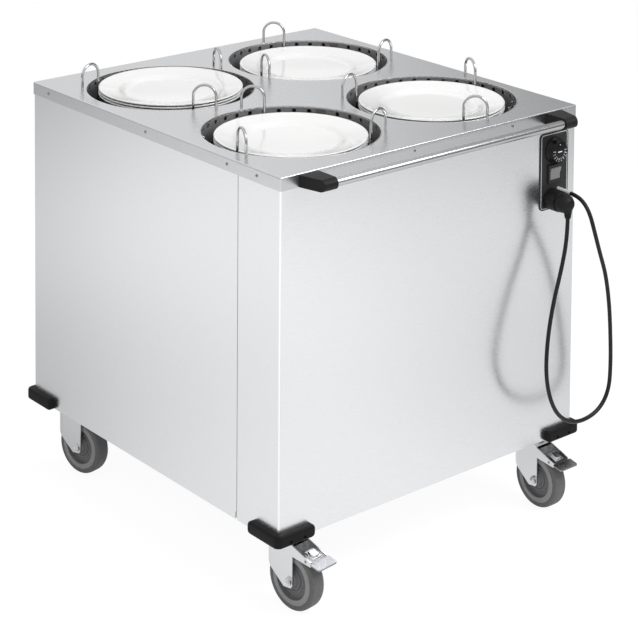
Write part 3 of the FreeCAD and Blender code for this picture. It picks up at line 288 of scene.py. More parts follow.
def porcelain():
    """White glaze over a faintly uneven body."""
    mat, tree, shader = new_material("porcelain", (0.92, 0.92, 0.915), 0.0, 0.12)
    field = noise_field(tree, (1, 1, 1), 9)
    shaded(tree, shader, field, (0.91, 0.91, 0.905), (0.93, 0.93, 0.925))
    bumped(tree, shader, field, 0.05, 0.0006)
    shader.inputs["Coat Weight"].default_value = 0.5
    shader.inputs["Coat Roughness"].default_value = 0.04
    return mat


PORCELAIN = porcelain()


def dress(names, mat):
    """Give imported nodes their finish."""
    for name in names:
        data = NODES[name].data
        data.materials.clear()
        data.materials.append(mat)


# Mesh helpers

def add_turned(bm, profile, origin, axis, steps=64):
    """Turn (radius, height) points about an axis."""
    axis = axis.normalized()
    side = axis.orthogonal().normalized()
    other = axis.cross(side)
    rings = []
    for radius, height in profile:
        centre = origin + axis * height
        if radius < 1e-7:
            rings.append([bm.verts.new(centre)])
            continue
        ring = []
        for i in range(steps):
            angle = 2 * math.pi * i / steps
            ring.append(bm.verts.new(centre + (side * math.cos(angle) + other * math.sin(angle)) * radius))
        rings.append(ring)
    for low, high in zip(rings, rings[1:]):
        for i in range(steps):
            j = (i + 1) % steps
            corners = [low[i % len(low)], low[j % len(low)], high[j % len(high)], high[i % len(high)]]
            unique = list(dict.fromkeys(corners))
            if len(unique) > 2:
                bm.faces.new(unique)


def add_tube(bm, points, radius, sides=8):
    """Round tube along points, with closed ends."""
    rings = []
    normal = None
    for i, point in enumerate(points):
        ahead = points[min(i + 1, len(points) - 1)] - points[max(i - 1, 0)]
        ahead.normalize()
        if normal is None:
            normal = ahead.orthogonal().normalized()
        normal = (normal - ahead * normal.dot(ahead)).normalized()
        other = ahead.cross(normal)
        ring = []
        for k in range(sides):
            angle = 2 * math.pi * k / sides
            ring.append(bm.verts.new(point + (normal * math.cos(angle) + other * math.sin(angle)) * radius))
        rings.append(ring)
    for low, high in zip(rings, rings[1:]):
        for k in range(sides):
            j = (k + 1) % sides
            bm.faces.new((low[k], low[j], high[j], high[k]))
    bm.faces.new(list(reversed(rings[0])))
    bm.faces.new(rings[-1])


def add_prism(bm, outline, along, inset=0.0):
    """Straight solid on a closed outline, its far face drawn in by a small edge."""
    middle = sum(outline, Vector()) / len(outline)
    base = [bm.verts.new(p) for p in outline]
    rows = [base]
    if inset:
        edge = along * max(0.0, 1 - inset / along.length)
        rows.append([bm.verts.new(p + edge) for p in outline])
        drawn = []
        for p in outline:
            inward = (middle - p).normalized() * inset
            drawn.append(bm.verts.new(p + inward + along))
        rows.append(drawn)
    else:
        rows.append([bm.verts.new(p + along) for p in outline])
    count = len(outline)
    for low, high in zip(rows, rows[1:]):
        for i in range(count):
            j = (i + 1) % count
            bm.faces.new((low[i], low[j], high[j], high[i]))
    bm.faces.new(list(reversed(base)))
    bm.faces.new(rows[-1])


def rounded_rectangle(width, height, radius, steps=6):
    """Outline points (u, v) round a rectangle with round corners."""
    points = []
    for cx, cy, start in ((1, 1, 0), (-1, 1, 90), (-1, -1, 180), (1, -1, 270)):
        for i in range(steps + 1):
            angle = math.radians(start + 90 * i / steps)
            u = cx * (width / 2 - radius) + radius * math.cos(angle)
            v = cy * (height / 2 - radius) + radius * math.sin(angle)
            points.append((u, v))
    return points


def castored(bm, name):
    """Move what was built at the origin to its castor, turned as the castor stands."""
    turn = Matrix.Rotation(math.radians(CASTOR_ANGLES[name]), 4, "Z")
    bmesh.ops.transform(bm, matrix=Matrix.Translation(SWIVELS[name]) @ turn, verts=bm.verts)


def piece(bm, name, body, mat, sharp=35):
    """Turn a bmesh into a finished piece that rides on a body."""
    bmesh.ops.recalc_face_normals(bm, faces=bm.faces)
    for face in bm.faces:
        face.smooth = True
    for edge in bm.edges:
        edge.smooth = edge.calc_face_angle(math.pi) < math.radians(sharp)
    data = bpy.data.meshes.new(name)
    bm.to_mesh(data)
    bm.free()
    data.materials.append(mat)
    obj = bpy.data.objects.new(name, data)
    bpy.context.scene.collection.objects.link(obj)
    if body:
        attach(obj, body)
    return obj


def packed_mesh(node):
    """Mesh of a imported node, its corners joined and its flat faces merged."""
    bm = bmesh.new()
    bm.from_mesh(NODES[node].data)
    bmesh.ops.remove_doubles(bm, verts=bm.verts, dist=1e-5)
    bmesh.ops.dissolve_limit(bm, angle_limit=math.radians(1.5), verts=bm.verts, edges=bm.edges)
    return bm


def refined(node, body, mat, width, segments=2, angle=30):
    """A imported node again, with its hard edges rounded, in the node's place."""
    bm = packed_mesh(node)
    hard = []
    for edge in bm.edges:
        if len(edge.link_faces) == 2 and edge.calc_face_angle() > math.radians(angle):
            hard.append(edge)
    bmesh.ops.bevel(bm, geom=hard, offset=width, segments=segments, profile=0.6, affect="EDGES",
                    clamp_overlap=True)
    obj = piece(bm, node + "_rounded", body, mat, 40)
    obj.modifiers.new("even_shading", "WEIGHTED_NORMAL").keep_sharp = True
    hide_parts(node)
    return obj


# Camera: level verticals, as with a rising-front lens

def camera():
    """The photograph's view: its frame lies well below the lens axis, and its verticals stay upright."""
    azimuth = math.radians(-39.805)
    pitch = math.radians(4.098)
    roll = math.radians(0.402)
    focal = 2047.1
    size = 638
    axis_row = -314.5
    spot = Vector((-2.863, -3.492 + MID_Y, 2.140))
    level = Vector((math.sin(azimuth), -math.cos(azimuth), 0))
    back = level * math.cos(pitch) + Z_AXIS * math.sin(pitch)
    right = Vector((math.cos(azimuth), math.sin(azimuth), 0))
    up = back.cross(right)
    across = right * math.cos(roll) + up * math.sin(roll)
    upright = up * math.cos(roll) - right * math.sin(roll)
    middle = -back * focal - upright * (size / 2 - axis_row)
    reach = middle.length
    towards = -middle / reach
    sheared = Matrix.Identity(4)
    for row in range(3):
        sheared[row] = (across[row], upright[row], towards[row], spot[row])
    data = bpy.data.cameras.new("camera")
    data.sensor_width = 36
    data.lens = 36 * reach / size
    data.clip_end = 100
    obj = bpy.data.objects.new("camera", data)
    rig = bpy.data.objects.new("camera_rig", None)
    for item in (rig, obj):
        bpy.context.scene.collection.objects.link(item)
    obj.parent = rig
    obj.matrix_parent_inverse = sheared
    bpy.context.scene.camera = obj


camera()

# Mains lead: (x, distance out from the control panel, z) along its middle line

CORD_RADIUS = 0.0045
CORD_OUT = [
    (0.3630, 0.0386, 0.7210), (0.3630, 0.0580, 0.7195), (0.3625, 0.0795, 0.7092), (0.3635, 0.0950, 0.6890),
    (0.3694, 0.1030, 0.6530), (0.3928, 0.0990, 0.5976), (0.4203, 0.0920, 0.5427), (0.4404, 0.0850, 0.4746),
    (0.4540, 0.0780, 0.4064), (0.4640, 0.0720, 0.3254), (0.4636, 0.0680, 0.2605), (0.4296, 0.0670, 0.2231),
    (0.3627, 0.0720, 0.2180), (0.3043, 0.0780, 0.2428), (0.2680, 0.0800, 0.2868), (0.2511, 0.0780, 0.3513),
    (0.2615, 0.0710, 0.4257), (0.2838, 0.0650, 0.5005), (0.3143, 0.0600, 0.5703), (0.3343, 0.0560, 0.6315),
    (0.3385, 0.0530, 0.6739),
]


def mains_lead():
    """Cord from the gland round its hanging loop to the plug's tail."""
    data = bpy.data.curves.new("mains_lead", "CURVE")
    data.dimensions = "3D"
    spline = data.splines.new("NURBS")
    spline.points.add(len(CORD_OUT) - 1)
    for point, (x, out, z) in zip(spline.points, CORD_OUT):
        point.co = (x, CONTROL_FACE_Y - out, z, 1)
    spline.order_u = 3
    spline.use_endpoint_u = True
    data.resolution_u = 10
    data.bevel_depth = CORD_RADIUS
    data.bevel_resolution = 5
    data.materials.append(CORD)
    obj = bpy.data.objects.new("mains_lead", data)
    bpy.context.scene.collection.objects.link(obj)
    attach(obj, "cabinet")
    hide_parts("mains_cord")
    return obj


def moulded_plug():
    """Right-angle plug with rounded shoulders and a ribbed tail."""
    seat = Vector((0.3385, CONTROL_FACE_Y - 0.031, 0.7055))
    bm = bmesh.new()
    body = [(0, 0), (0.0208, 0), (0.0215, 0.0006), (0.0215, 0.0026), (0.0206, 0.0032), (0.0206, 0.0044),
            (0.0215, 0.0050), (0.0215, 0.0110), (0.0211, 0.0140), (0.0199, 0.0180), (0.0182, 0.0222),
            (0.0160, 0.0260), (0.0135, 0.0292), (0.0108, 0.0312), (0.0070, 0.0320), (0, 0.0320)]
    add_turned(bm, body, seat, -Y_AXIS, 64)
    tail_top = seat - Y_AXIS * 0.022
    tail = [(0, 0.002), (0.0100, 0.002), (0.0096, 0.012), (0.0088, 0.0180)]
    for i in range(4):
        base = 0.0185 + i * 0.0031
        wide = 0.0084 - i * 0.0005
        groove = wide - 0.0011
        tail += [(wide, base), (wide, base + 0.0017), (groove, base + 0.0021), (groove, base + 0.0029)]
    tail += [(0.0058, 0.0310), (0, 0.0310)]
    add_turned(bm, tail, tail_top, -Z_AXIS, 40)
    for side in (-1, 1):
        pin = [(0, 0), (0.0024, 0), (0.0024, 0.0160), (0.0016, 0.0170), (0, 0.0170)]
        add_turned(bm, pin, seat + X_AXIS * side * 0.0095, Y_AXIS, 20)
    obj = piece(bm, "plug_moulding", "cabinet", PLUG, 50)
    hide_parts("mains_plug")
    return obj


lead = mains_lead()
plug = moulded_plug()

# Corner bumpers

BUMPER_X = 0.4315
BUMPER_Y = 0.465
BUMPER_CORNER = 0.014
BUMPER_EDGE = 0.0055
BUMPER_BOTTOM = 0.158
BUMPER_HEIGHT = 0.026
BUMPER_HOLES = [SHEET_FACE_X - at for at in (0.020, 0.056)]
BUMPER_HOLE_Z = BUMPER_BOTTOM + BUMPER_HEIGHT / 3
BUMPER_HOLE_REACH = 0.004
BUMPER_HOLE_DEPTH = 0.004


def on_outer_face(point):
    """True on the faces of a bumper that look away from the cabinet, the round corner among them."""
    x = abs(point.x)
    y = abs(point.y - MID_Y)
    slack = 0.0003
    corner = Vector((BUMPER_X - BUMPER_CORNER, BUMPER_Y - BUMPER_CORNER))
    if x > corner.x and y > corner.y:
        return (Vector((x, y)) - corner).length > BUMPER_CORNER - slack
    return x > BUMPER_X - slack or y > BUMPER_Y - slack


def at_screw(point):
    """True on the rim of a bumper's screw hole."""
    for x in BUMPER_HOLES:
        if math.hypot(abs(point.x) - x, point.z - BUMPER_HOLE_Z) < BUMPER_HOLE_REACH:
            return True
    return False


def corner_bumpers():
    """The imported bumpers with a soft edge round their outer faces, crisp against the sheet."""
    bm = packed_mesh("corner_bumpers")
    rim = []
    for edge in bm.edges:
        ends = [v.co for v in edge.verts]
        hard = len(edge.link_faces) == 2 and edge.calc_face_angle() > math.radians(45)
        if hard and all(on_outer_face(p) for p in ends) and not any(at_screw(p) for p in ends):
            rim.append(edge)
    bmesh.ops.bevel(bm, geom=rim, offset=BUMPER_EDGE, segments=5, profile=0.5, affect="EDGES",
                    clamp_overlap=False)
    obj = piece(bm, "corner_bumpers_rounded", "cabinet", BUMPER, 40)
    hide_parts("corner_bumpers")


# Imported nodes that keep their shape

dress(["front_shell", "rear_shell"], PANEL_STEEL)
dress(["top_deck", "deck_skirt"], DECK_STEEL)
dress(["base_tray", "frame_posts", "electrical_box"], INNER_STEEL)
dress(["platform_" + well for well in WELLS], INNER_STEEL)
dress(["spring_collars"], COLLAR_STEEL)
dress(["heater_elements"], HEATER)
dress(["handle_bar"], BRIGHT_STEEL)
dress(["castor_plates"], ZINC)
dress(["cable_gland"], GLAND)
dress(["control_panel", "thermostat"], PANEL)
for well in WELLS:
    dress(["plate_guide_%s_%d" % (well, i) for i in (1, 2, 3)], GUIDE_STEEL)

corner_bumpers()
refined("handle_brackets", "cabinet", BRACKET, 0.0016, 3)
refined("switch_housing", "cabinet", PANEL, 0.0006)
refined("switch_rocker", "rocker", ROCKER, 0.0007)
refined("parking_socket", "cabinet", PLUG, 0.0012)


# Plates and springs

PLATES_SHOWN = 3
PLATE_PITCH = 0.006
PLATFORM_SHEET = 0.003
LEG_LENGTH = 0.250
COLLAR_HOLE_DROP = 0.011
COLLAR_HOLE_RADIUS = 0.0045
HOOK_LIFT = 0.0013
SPRING_CIRCLE = 0.181
SPRING_HALF_ANGLE = 5
SPRING_COIL = 0.0043
SPRING_WIRE = 0.0011
SPRING_TURNS = 62
TURN_STEPS = 9


def plate_section(base):
    """(radius, height) round the section of a coupe-rimmed dinner plate."""
    top = [(0, 6.0), (92, 6.0), (100, 6.3), (105, 7.4), (110, 9.6), (115, 12.0), (120, 13.4), (128, 14.6),
           (142, 16.6), (156, 18.9), (160.2, 19.7), (162.0, 19.6), (163.0, 18.6)]
    under = [(162.8, 17.4), (161.2, 16.4), (150, 14.2), (128, 10.4), (118, 7.6), (108, 3.4), (101, 1.6),
             (96.5, 1.0), (95.5, 0.2), (94.5, 0), (92.0, 0), (91.0, 0.6), (90.0, 1.4), (0, 1.4)]
    return [(r / 1000, base + h / 1000) for r, h in top + under]


def plate_stack(well):
    """Nested plates that stand on a platform."""
    bm = bmesh.new()
    for i in range(PLATES_SHOWN):
        add_turned(bm, plate_section(PLATFORM_TOP[well] + PLATE_PITCH * i), WELLS[well], Z_AXIS, 128)
    obj = piece(bm, "plates_" + well + "_glazed", "plates_" + well, PORCELAIN, 60)
    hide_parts("plates_" + well)


def spring_set(well):
    """Six wound springs from the collar's holes down to the platform's ring."""
    ring = PLATFORM_TOP[well] - PLATFORM_SHEET - LEG_LENGTH
    hook = DECK_TOP - COLLAR_HOLE_DROP - COLLAR_HOLE_RADIUS + HOOK_LIFT
    top = hook - 0.012
    low = ring + 0.008
    count = SPRING_TURNS * TURN_STEPS
    bm = bmesh.new()
    for i in range(3):
        for side in (-1, 1):
            angle = math.radians(GUIDE_START[well] + 60 + 120 * i + SPRING_HALF_ANGLE * side)
            out = Vector((math.cos(angle), math.sin(angle), 0))
            axis = WELLS[well] + out * SPRING_CIRCLE
            points = [axis + out * 0.0125 + Z_AXIS * hook, axis + out * 0.006 + Z_AXIS * (hook + 0.0004)]
            points += [axis + out * 0.0015 + Z_AXIS * (hook - 0.0015), axis + Z_AXIS * (hook - 0.005)]
            points.append(axis + out * 0.002 + Z_AXIS * (top + 0.003))
            for k in range(count + 1):
                turn = 2 * math.pi * k / TURN_STEPS
                height = top + (low - top) * k / count
                way = Matrix.Rotation(turn, 3, "Z") @ out
                points.append(axis + way * SPRING_COIL + Z_AXIS * height)
            points += [axis + out * 0.001 + Z_AXIS * (low - 0.003), axis + Z_AXIS * (ring - 0.002)]
            points.append(axis + Z_AXIS * (ring - 0.0062))
            add_tube(bm, points, SPRING_WIRE, 5)
    obj = piece(bm, "springs_" + well + "_wound", None, SPRING_STEEL, 70)
    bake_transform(obj)
    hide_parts("springs_" + well)


for well in WELLS:
    plate_stack(well)
    spring_set(well)


# Wheels

def tyre(name):
    """Grey tyre with its flat side painted paler as a painted highlight, a groove round it and square
    shoulders.
    """
    half = [(17.0, 48.0), (17.0, 50.0), (16.1, 50.8), (16.1, 51.6), (16.6, 54.8), (16.5, 57.4), (16.0, 59.3),
            (14.8, 60.8), (12.6, 61.9), (9.0, 62.4), (4.0, 62.5)]
    section = [(-x, r) for x, r in half] + list(reversed(half)) + [(-17.0, 48.0)]
    bm = bmesh.new()
    add_turned(bm, [(r / 1000, x / 1000) for x, r in section], AXLE, X_AXIS, 96)
    for face in bm.faces:
        middle = face.calc_center_median() - AXLE
        # Faces of the flat side get the painted highlight
        face.material_index = 1 if math.hypot(middle.y, middle.z) < TYRE_SIDE_RADIUS else 0
    castored(bm, name)
    obj = piece(bm, "tyre_" + name + "_moulded", "wheel_" + name, TYRE, 50)
    obj.data.materials.append(LIT_TYRE_SIDE)
    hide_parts("castor_tyre_" + name)


def hub(name):
    """Moulded hub: rim painted pale like the tyre's flat side as a painted highlight, flush with the tyre,
    deep ring recess, stepped boss.
    """
    half = [(19.0, 6.1), (19.0, 12.0), (18.4, 14.4), (14.6, 15.6), (12.0, 17.0), (11.6, 20.4), (8.4, 21.6),
            (8.0, 23.0), (9.2, 24.0), (9.2, 27.0), (8.0, 28.2), (7.2, 37.0), (7.6, 38.4), (16.4, 39.6),
            (17.0, 40.4), (17.0, 48.0)]
    section = half + [(-x, r) for x, r in reversed(half)] + half[:1]
    bm = bmesh.new()
    add_turned(bm, [(r / 1000, x / 1000) for x, r in section], AXLE, X_AXIS, 80)
    for face in bm.faces:
        middle = face.calc_center_median() - AXLE
        # Faces of the rim get the painted highlight of the tyre's flat side
        face.material_index = 1 if math.hypot(middle.y, middle.z) > HUB_RIM_RADIUS else 0
    castored(bm, name)
    obj = piece(bm, "hub_" + name + "_moulded", "wheel_" + name, HUB, 35)
    obj.data.materials.append(LIT_TYRE_SIDE)
    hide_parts("castor_hub_" + name)


for name in SWIVELS:
    tyre(name)
    hub(name)
    refined("castor_fork_" + name, "castor_" + name, ZINC, 0.0011)
for name in BRAKED:
    refined("brake_pedal_" + name, "pedal_" + name, SHADED_ZINC, 0.0008)


# Knob with its dial

KNOB_GAP = 0.0005
KNOB_HEIGHT = 0.0170
PRINT_DEPTH = 0.00012
DIAL_START = 172
DIAL_SWEEP = 196
DIAL_COUNT = 10
TICK_CIRCLE = 0.0205
NUMBER_CIRCLE = 0.0162
NUMBER_SIZE = 0.0062


def thermostat_knob():
    """Skirted knob and the spindle behind it."""
    foot = Vector((CONTROL_X, CONTROL_FACE_Y - KNOB_GAP, KNOB_Z))
    section = [(0, 0), (0.0286, 0), (0.0290, 0.0004), (0.0290, 0.0022), (0.0284, 0.0030), (0.0258, 0.0046),
               (0.0250, 0.0056), (0.0238, 0.0152), (0.0232, 0.0164), (0.0220, KNOB_HEIGHT), (0, KNOB_HEIGHT)]
    bm = bmesh.new()
    add_turned(bm, section, foot, -Y_AXIS, 96)
    spindle = [(0, 0), (0.003, 0), (0.003, 0.027), (0, 0.027)]
    add_turned(bm, spindle, foot, Y_AXIS, 24)
    obj = piece(bm, "knob_moulded", "knob", KNOB, 40)
    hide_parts("thermostat_knob")


def add_tick(bm, face, angle, thick):
    """Short printed line on the dial's rim."""
    along = Vector((math.cos(angle), 0, math.sin(angle)))
    across = Vector((-math.sin(angle), 0, math.cos(angle)))
    centre = face + along * TICK_CIRCLE
    length = along * 0.0011
    width = across * 0.0005
    corners = [centre - length - width, centre + length - width]
    corners += [centre + length + width, centre - length + width]
    add_prism(bm, corners, thick)


def add_number(bm, face, angle, thick, number):
    """Printed number that stands upright at the dial's pointer."""
    words = bpy.data.curves.new("dial_number", "FONT")
    words.body = str(number)
    words.size = NUMBER_SIZE
    words.align_x = "CENTER"
    words.align_y = "CENTER"
    words.extrude = PRINT_DEPTH / 2
    holder = bpy.data.objects.new("dial_number", words)
    bpy.context.scene.collection.objects.link(holder)
    bpy.context.view_layer.update()
    shape = bpy.data.meshes.new_from_object(holder)
    spot = face + Vector((math.cos(angle), 0, math.sin(angle))) * NUMBER_CIRCLE + thick / 2
    turn = Matrix.Rotation(angle + math.pi / 2, 4, "Z")
    stand = Matrix.Rotation(math.pi / 2, 4, "X")
    shape.transform(Matrix.Translation(spot) @ stand @ turn)
    bm.from_mesh(shape)
    bpy.data.objects.remove(holder)
    bpy.data.curves.remove(words)
    bpy.data.meshes.remove(shape)


def dial_marks():
    """Printed ring of numbers, pointer bar and dot on the knob's face."""
    face = Vector((CONTROL_X, CONTROL_FACE_Y - KNOB_GAP - KNOB_HEIGHT, KNOB_Z))
    thick = -Y_AXIS * PRINT_DEPTH
    bm = bmesh.new()
    bar = rounded_rectangle(0.0120, 0.0026, 0.0006, 3)
    add_prism(bm, [face + X_AXIS * u + Z_AXIS * v for u, v in bar], thick)
    dot = [(0, 0), (0.0011, 0), (0.0011, PRINT_DEPTH), (0, PRINT_DEPTH)]
    add_turned(bm, dot, face + Z_AXIS * 0.0155, -Y_AXIS, 16)
    for i in range(DIAL_COUNT):
        angle = math.radians(DIAL_START + DIAL_SWEEP * i / (DIAL_COUNT - 1))
        add_tick(bm, face, angle, thick)
        add_number(bm, face, angle, thick, i)
    piece(bm, "dial_marks", "knob", PRINT, 30)


def panel_border():
    """Light printed line round the control panel."""
    bm = bmesh.new()
    outer = rounded_rectangle(0.0818, 0.1648, 0.0076, 8)
    inner = rounded_rectangle(0.0782, 0.1612, 0.0060, 8)
    rows = []
    for outline, depth in ((outer, 0.0), (outer, 0.0002), (inner, 0.0002), (inner, 0.0)):
        spots = [Vector((CONTROL_X + u, CONTROL_FACE_Y - depth, CONTROL_Z + v)) for u, v in outline]
        rows.append([bm.verts.new(spot) for spot in spots])
    for low, high in zip(rows, rows[1:]):
        for i in range(len(outer)):
            j = (i + 1) % len(outer)
            bm.faces.new((low[i], low[j], high[j], high[i]))
    piece(bm, "panel_border", "cabinet", BORDER, 30)


thermostat_knob()
dial_marks()
panel_border()


# Small fasteners

DOME = [(0.0034, 0), (0.0033, 0.0006), (0.0027, 0.0012), (0.0015, 0.0016), (0, 0.0017)]
HEAD = [(0.0030, 0), (0.0030, 0.0006), (0.0026, 0.0010), (0.0012, 0.0010), (0.0010, 0.0004), (0, 0.0004)]
RIVET_Z = 0.886
SCREW_Z = 0.8875
BOLT_X = 0.033
BOLT_Y = 0.043
CASTOR_PLATE_Z = 0.160
AXLE_END = 0.0285
PEDAL_REAR = Vector((0, -0.048, 0.137))
PEDAL_KNEE = Vector((0, -0.0985, 0.120))
BUTTON_DOWN = 0.034


def deck_rivets():
    """Rivets on the sides and back of the deck's skirt, screws on its front."""
    bm = bmesh.new()
    for y in (0.3858, 0.0054, -0.2792, -0.3765):
        for side in (-1, 1):
            add_turned(bm, DOME, Vector((side * FLANGE_X, y + MID_Y, RIVET_Z)), X_AXIS * side, 20)
    for x in (-0.064, 0.2198):
        add_turned(bm, HEAD, Vector((x, -FLANGE_Y + MID_Y, SCREW_Z)), -Y_AXIS, 20)
    for x in (-0.22, 0.22):
        add_turned(bm, DOME, Vector((x, FLANGE_Y + MID_Y, RIVET_Z)), Y_AXIS, 20)
    piece(bm, "deck_rivets", "cabinet", SHADED_ZINC, 40)


def bumper_screws():
    """Cross-slot screws at the bottom of the bumpers' counterbores."""
    profile = [(0.0028, 0), (0.0028, 0.0008), (0.0022, 0.0013), (0, 0.0013)]
    bm = bmesh.new()
    for side in (-1, 1):
        for face in (-1, 1):
            y = face * (BUMPER_Y - BUMPER_HOLE_DEPTH) + MID_Y
            for x in BUMPER_HOLES:
                add_turned(bm, profile, Vector((side * x, y, BUMPER_HOLE_Z)), Y_AXIS * face, 18)
    piece(bm, "bumper_screws", "cabinet", KNOB, 40)


def hexagon(centre, radius, u, v):
    """Corners of a hexagon in the plane of two directions."""
    points = []
    for i in range(6):
        angle = math.radians(60 * i)
        points.append(centre + u * radius * math.cos(angle) + v * radius * math.sin(angle))
    return points


def castor_bolts():
    """Hexagon heads that hold the castor plates to the tray."""
    bm = bmesh.new()
    for spot in SWIVELS.values():
        for sx in (-1, 1):
            for sy in (-1, 1):
                centre = spot + Vector((sx * BOLT_X, sy * BOLT_Y, CASTOR_PLATE_Z))
                add_turned(bm, [(0, 0), (0.0055, 0), (0.0055, 0.001), (0, 0.001)], centre, -Z_AXIS, 24)
                head = hexagon(centre - Z_AXIS * 0.001, 0.0048, X_AXIS, Y_AXIS)
                add_prism(bm, head, -Z_AXIS * 0.0034, 0.0006)
    piece(bm, "castor_bolts", "cabinet", ZINC, 30)


def axle_nuts(name):
    """Nut and washer faces on both ends of the axle bolt."""
    bm = bmesh.new()
    for side in (-1, 1):
        end = AXLE + X_AXIS * side * AXLE_END
        outline = hexagon(end, 0.0070, Y_AXIS, Z_AXIS)
        add_prism(bm, outline, X_AXIS * side * 0.0030, 0.0008)
        thread = [(0.0040, 0.003), (0.0040, 0.0044), (0.0030, 0.0050), (0, 0.0050)]
        add_turned(bm, thread, end, X_AXIS * side, 20)
    castored(bm, name)
    piece(bm, "axle_nuts_" + name, "castor_" + name, ZINC, 30)


def pedal_button(name):
    """Raised release tread on the pedal's slope."""
    down = (PEDAL_KNEE - PEDAL_REAR).normalized()
    rise = X_AXIS.cross(down)
    if rise.z < 0:
        rise = -rise
    middle = PEDAL_REAR + down * BUTTON_DOWN
    bm = bmesh.new()
    for width, length, height, lift in ((0.026, 0.026, 0.0012, 0.0), (0.018, 0.018, 0.0034, 0.0010)):
        outline = []
        for u, v in rounded_rectangle(width, length, 0.003, 4):
            outline.append(middle + X_AXIS * u + down * v + rise * lift)
        add_prism(bm, outline, rise * height, 0.0008)
    castored(bm, name)
    piece(bm, "pedal_button_" + name, "pedal_" + name, ZINC, 30)


deck_rivets()
bumper_screws()
castor_bolts()
for name in SWIVELS:
    axle_nuts(name)
for name in BRAKED:
    pedal_button(name)


# Thin trim of the openings and the side seams

JOINT_LAG = 53
JOINT_SPAN = 6.8
JOINT_STEPS = 8
SEAM_NOTCH = 0.016
SEAM_EDGE = 0.0003
SEAM_INSET = 0.0004
SEAM_DEPTH = 0.0005


def collar_joints():
    """Overlapped joint of each spring collar."""
    bm = bmesh.new()
    for well, centre in WELLS.items():
        turn = GUIDE_START[well] - JOINT_LAG
        rows = []
        for radius in (0.1904, 0.1896):
            for z in (0.8955, 0.852):
                row = []
                for i in range(JOINT_STEPS + 1):
                    angle = math.radians(turn - JOINT_SPAN / 2 + JOINT_SPAN * i / JOINT_STEPS)
                    out = Vector((math.cos(angle), math.sin(angle), 0))
                    row.append(bm.verts.new(centre + out * radius + Z_AXIS * z))
                rows.append(row)
        for a, b in ((0, 1), (2, 3), (0, 2), (1, 3)):
            for i in range(JOINT_STEPS):
                bm.faces.new((rows[a][i], rows[a][i + 1], rows[b][i + 1], rows[b][i]))
        for i in (0, JOINT_STEPS):
            bm.faces.new((rows[0][i], rows[1][i], rows[3][i], rows[2][i]))
    piece(bm, "collar_joints", "cabinet", HEATER, 30)


def well_rims():
    """Rolled edge round each opening, just proud of the deck."""
    profile = [(0.1890, -0.0030), (0.1888, -0.0010), (0.1893, 0.0001), (0.1901, 0.0005), (0.1911, 0.0003)]
    profile += [(0.1916, -0.0002), (0.1916, -0.0008)]
    bm = bmesh.new()
    for centre in WELLS.values():
        add_turned(bm, profile + profile[:1], centre + Z_AXIS * DECK_TOP, Z_AXIS, 128)
    piece(bm, "well_rims", "cabinet", RIM_STEEL, 60)


def shell_seams():
    """Dark strip over the open joint between front and rear sheet, down both sides: painted shade of the gap
    and its rounded edges.
    """
    front_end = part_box("front_shell")[1][1]
    rear_low, rear_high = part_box("rear_shell")
    near = front_end - SEAM_EDGE
    far = rear_low[1] + SEAM_EDGE
    bottom = rear_low[2] + SEAM_NOTCH
    top = min(rear_high[2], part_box("deck_skirt")[0][2])
    bm = bmesh.new()
    for side in (-1, 1):
        x = side * (SHEET_FACE_X - SEAM_INSET)
        outline = [Vector((x, y, z)) for y, z in ((near, bottom), (far, bottom), (far, top), (near, top))]
        add_prism(bm, outline, X_AXIS * side * SEAM_DEPTH)
    piece(bm, "shell_seams", "cabinet", SEAM_SHADE, 30)


collar_joints()
well_rims()
shell_seams()


# Floor, light and world: (place, level) stops of what metal sees, the floor's among them painted light and
# shade

FLOOR_HALF = 30
FLOOR_CAMERA = 1.12
FLOOR_CAMERA_SHARE = 0.82
FLOOR_GLOSSY = 1.64
FLOOR_GLOSSY_SHARE = 0.7
# Painted light of the floor's glow: a pool falling off to the right and to the back, and darker near the
# cabinet as painted shade
FLOOR_RIGHT = [(0.7, 1.0), (1.3, 0.76), (2.2, 0.60), (2.8, 0.30), (4.0, 0.25)]
FLOOR_BACK = [(0.8, 1.0), (1.5, 0.96), (2.6, 0.78), (4.0, 0.62)]
FLOOR_NEAR = [
    (0.6, 0.70), (1.0, 0.715), (1.5, 0.735), (2.0, 0.85), (2.5, 1.0), (3.5, 0.95), (5.0, 0.6), (9.0, 0.3),
]
# Painted shadows round points of the floor
FLOOR_SHADES = [
    ((-0.65, 0.85), [(0.1, 0.82), (0.9, 1.0)]),
    ((1.0, -0.9), [(0.15, 0.72), (0.9, 1.0)]),
    ((-0.35, -1.95), [(0.35, 0.66), (1.1, 1.0)]),
]
# Painted edge of the cabinet's cast shadow, slanting back from its left side
SHADOW_START_X = -0.4
SHADOW_SLOPE = 1.55
SHADOW_EDGE = [(-1.2, 1.0), (-0.85, 0.96), (-0.6, 0.90), (-0.4, 0.78), (-0.2, 0.66), (0.3, 0.6)]
SKY_GLOSSY = 1.14
SKY_HEIGHT = [(0.0, 0.35), (0.2, 0.75), (0.237, 0.98), (0.266, 0.66), (0.31, 0.87), (0.6, 0.88), (1.0, 0.88)]
SKY_RIGHT = [(0.0, 1.0), (0.60, 1.0), (0.72, 0.33), (0.85, 0.32), (1.0, 0.32)]
SKY_AMBIENT = 0.38


def curve_of(tree, value, stops):
    """A number that follows the value through (value, number) stops."""
    low, high = stops[0][0], stops[-1][0]
    spread = tree.nodes.new("ShaderNodeMapRange")
    spread.inputs["From Min"].default_value = low
    spread.inputs["From Max"].default_value = high
    tree.links.new(value, spread.inputs["Value"])
    ramp = tree.nodes.new("ShaderNodeValToRGB")
    ramp.color_ramp.interpolation = "EASE"
    elements = ramp.color_ramp.elements
    while len(elements) < len(stops):
        elements.new(0.5)
    for element, (at, number) in zip(elements, stops):
        element.position = (at - low) / (high - low)
        element.color = (number, number, number, 1)
    tree.links.new(spread.outputs["Result"], ramp.inputs["Fac"])
    return ramp.outputs["Color"]


